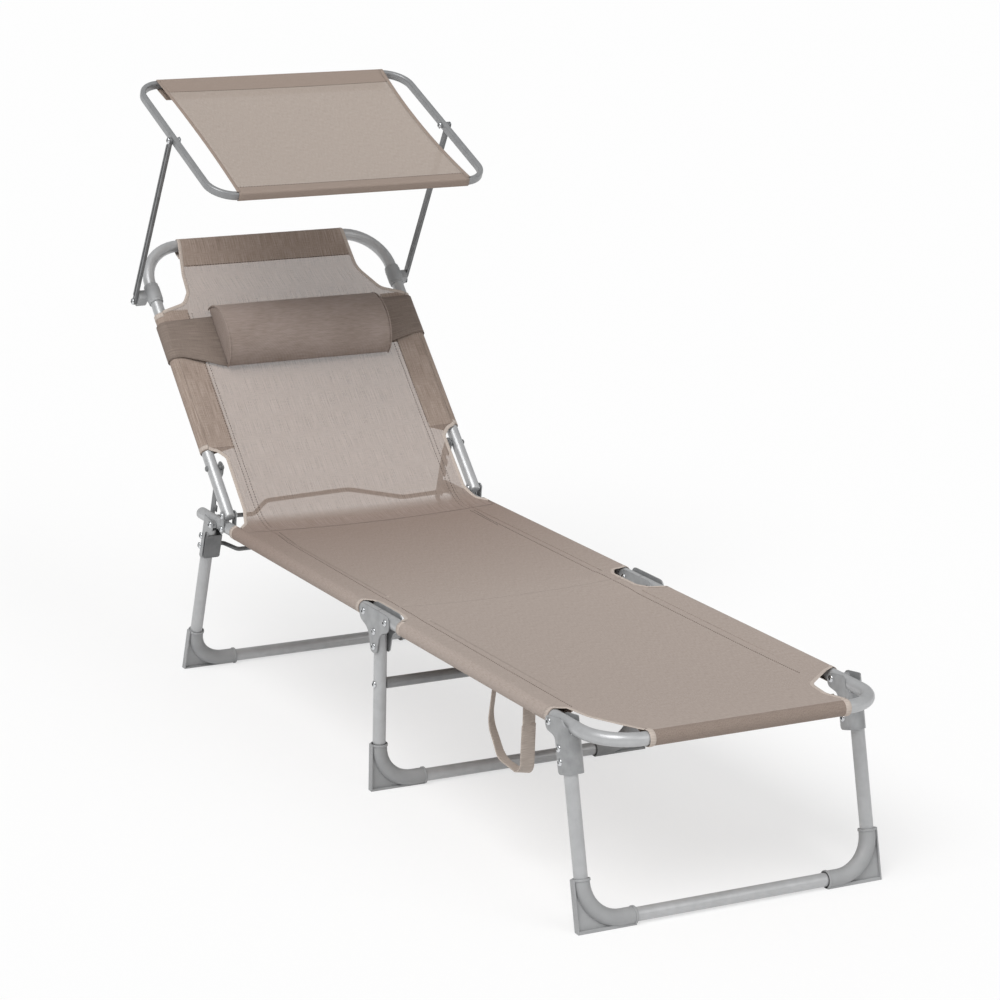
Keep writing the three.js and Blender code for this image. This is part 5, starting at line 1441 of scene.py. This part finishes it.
ROUNDING = 0.0034
section = rounded_path([
    (0, -HALF_WIDE, 0, 0), (HALF_DEEP, -HALF_WIDE, 0, ROUNDING), (HALF_DEEP, HALF_WIDE, 0, ROUNDING),
    (-HALF_DEEP, HALF_WIDE, 0, ROUNDING), (-HALF_DEEP, -HALF_WIDE, 0, ROUNDING),
    (-0.0001, -HALF_WIDE, 0, 0)], 5)[:, :2]
loop = rounded_path([
    (0.0001, CANOPY_REACH, 0, 0), (CANOPY_SPAN, CANOPY_REACH, 0, CANOPY_BEND),
    (CANOPY_SPAN, -CANOPY_REACH, 0, CANOPY_BEND), (-CANOPY_SPAN, -CANOPY_REACH, 0, CANOPY_BEND),
    (-CANOPY_SPAN, CANOPY_REACH, 0, CANOPY_BEND), (-0.0001, CANOPY_REACH, 0, 0)])
points, faces = carried(section, loop, (0, 0, 1))
loop_tube = add_object("canopy_tube", on_canopy(points), faces, 0.9)
dress(loop_tube, CANOPY_COAT, "canopy", "painted_tube", "canopy_frame")

CANOPY_MESH = mesh_cloth_finish("canopy_polyester_mesh", "a3968c", "bbaea4", 0.03, 0.4, 110.0)
CANOPY_HEM = mesh_cloth_finish("canopy_hem_mesh", "8a7b70", "a09187", 0.0, 0.4, 420.0)
REAR_HEM, FRONT_HEM = 0.041, 0.014
CANOPY_HALF, CANOPY_PINCH, CANOPY_DIP = 0.23, 0.035, 0.01
lift_z = HALF_DEEP + 0.0009
round_y = HALF_WIDE + 0.0009
turn_front = [(-CANOPY_REACH + FRONT_HEM, -lift_z, 0), (-CANOPY_REACH - round_y, -lift_z, 0.004),
              (-CANOPY_REACH - round_y, lift_z, 0.004), (CANOPY_REACH + round_y, lift_z, 0.004),
              (CANOPY_REACH + round_y, -lift_z, 0.004), (CANOPY_REACH - REAR_HEM, -lift_z, 0)]
profile = rounded_path([(0, y, z, r) for y, z, r in turn_front], 6)
spread = np.linspace(-CANOPY_REACH + 0.001, CANOPY_REACH - 0.001, 60)
hem_ends = (-CANOPY_REACH + FRONT_HEM, CANOPY_REACH - REAR_HEM)
front_part = profile[profile[:, 1] < hem_ends[0] + 0.001]
rear_part = profile[profile[:, 1] > hem_ends[1] - 0.001]
middle_part = np.stack([np.zeros(60), spread, np.full(60, lift_z)], -1)
canopy_line = np.concatenate([front_part, middle_part, rear_part])
share = np.linspace(-1, 1, 49)
towards_middle = 1 - np.clip(np.abs(canopy_line[:, 1:2]) / CANOPY_REACH, 0, 1) ** 2
on_top = canopy_line[:, 2] > lift_z - 1e-6
dip = np.where(on_top[:, None], CANOPY_DIP * towards_middle, 0) * (1 - 0.6 * share ** 2)
canopy_grid = np.stack(np.broadcast_arrays(
    CANOPY_HALF * (1 - CANOPY_PINCH * towards_middle) * share,
    canopy_line[:, 1:2], canopy_line[:, 2:3] - dip), -1)
canopy_world = on_canopy(canopy_grid)
zone = np.zeros((len(canopy_line) - 1, 48), int)
zone[(canopy_line[:-1, 1] < hem_ends[0]) | (canopy_line[:-1, 1] > hem_ends[1])] = 1
canopy_cloth = add_grid("canopy_cloth", canopy_world, grid_uv(canopy_world), zone)
canopy_cloth.data.materials.append(CANOPY_MESH)
canopy_cloth.data.materials.append(CANOPY_HEM)
dress(canopy_cloth, None, "canopy", "canopy_mesh", "canopy_fabric")
area = cloth_area(canopy_cloth)
canopy_out = on_canopy([[0, 0, 1]])[0] - on_canopy([[0, 0, 0]])[0]
seam_rows = [int(np.argmin(np.abs(canopy_line[:, 1] - end) + 10 * ~on_top)) for end in hem_ends]
seam_lines = [(canopy_world[row] + canopy_out * half_cloth, canopy_out) for row in seam_rows]
canopy_stitches = stitches("canopy_stitches", seam_lines)
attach(canopy_stitches, "canopy")
canopy_binding = bindings("canopy_binding", [canopy_world[on_top, 0], canopy_world[on_top, -1]],
                          [canopy_out] * 2)
canopy_binding.data.materials.clear()
canopy_binding.data.materials.append(CANOPY_HEM)
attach(canopy_binding, "canopy")
for name, side in SIDES:
    bolt = rivet_piece(f"canopy_bolt_head_{name}", [(side * 0.2642, side * 0.2855, *CANOPY_PIVOT)])
    dress(bolt, None, "canopy", "bright_steel", f"canopy_bolt_{name}")
    ends = sorted((side * 0.2682, side * 0.2637))
    points, faces = extruded(circle(0.0052, 6), *ends, sideways)
    nut = add_object(f"canopy_nut_inside_{name}", on_canopy(points), faces, 0.3)
    soften(nut, 0.0004)
    dress(nut, BRIGHT_ZINC, "canopy", "bright_steel", f"canopy_nut_{name}")

box = lambda b: [[float(v) for v in corner] for corner in b]
{"cad": box(cad_box), "visual": box(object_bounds())}
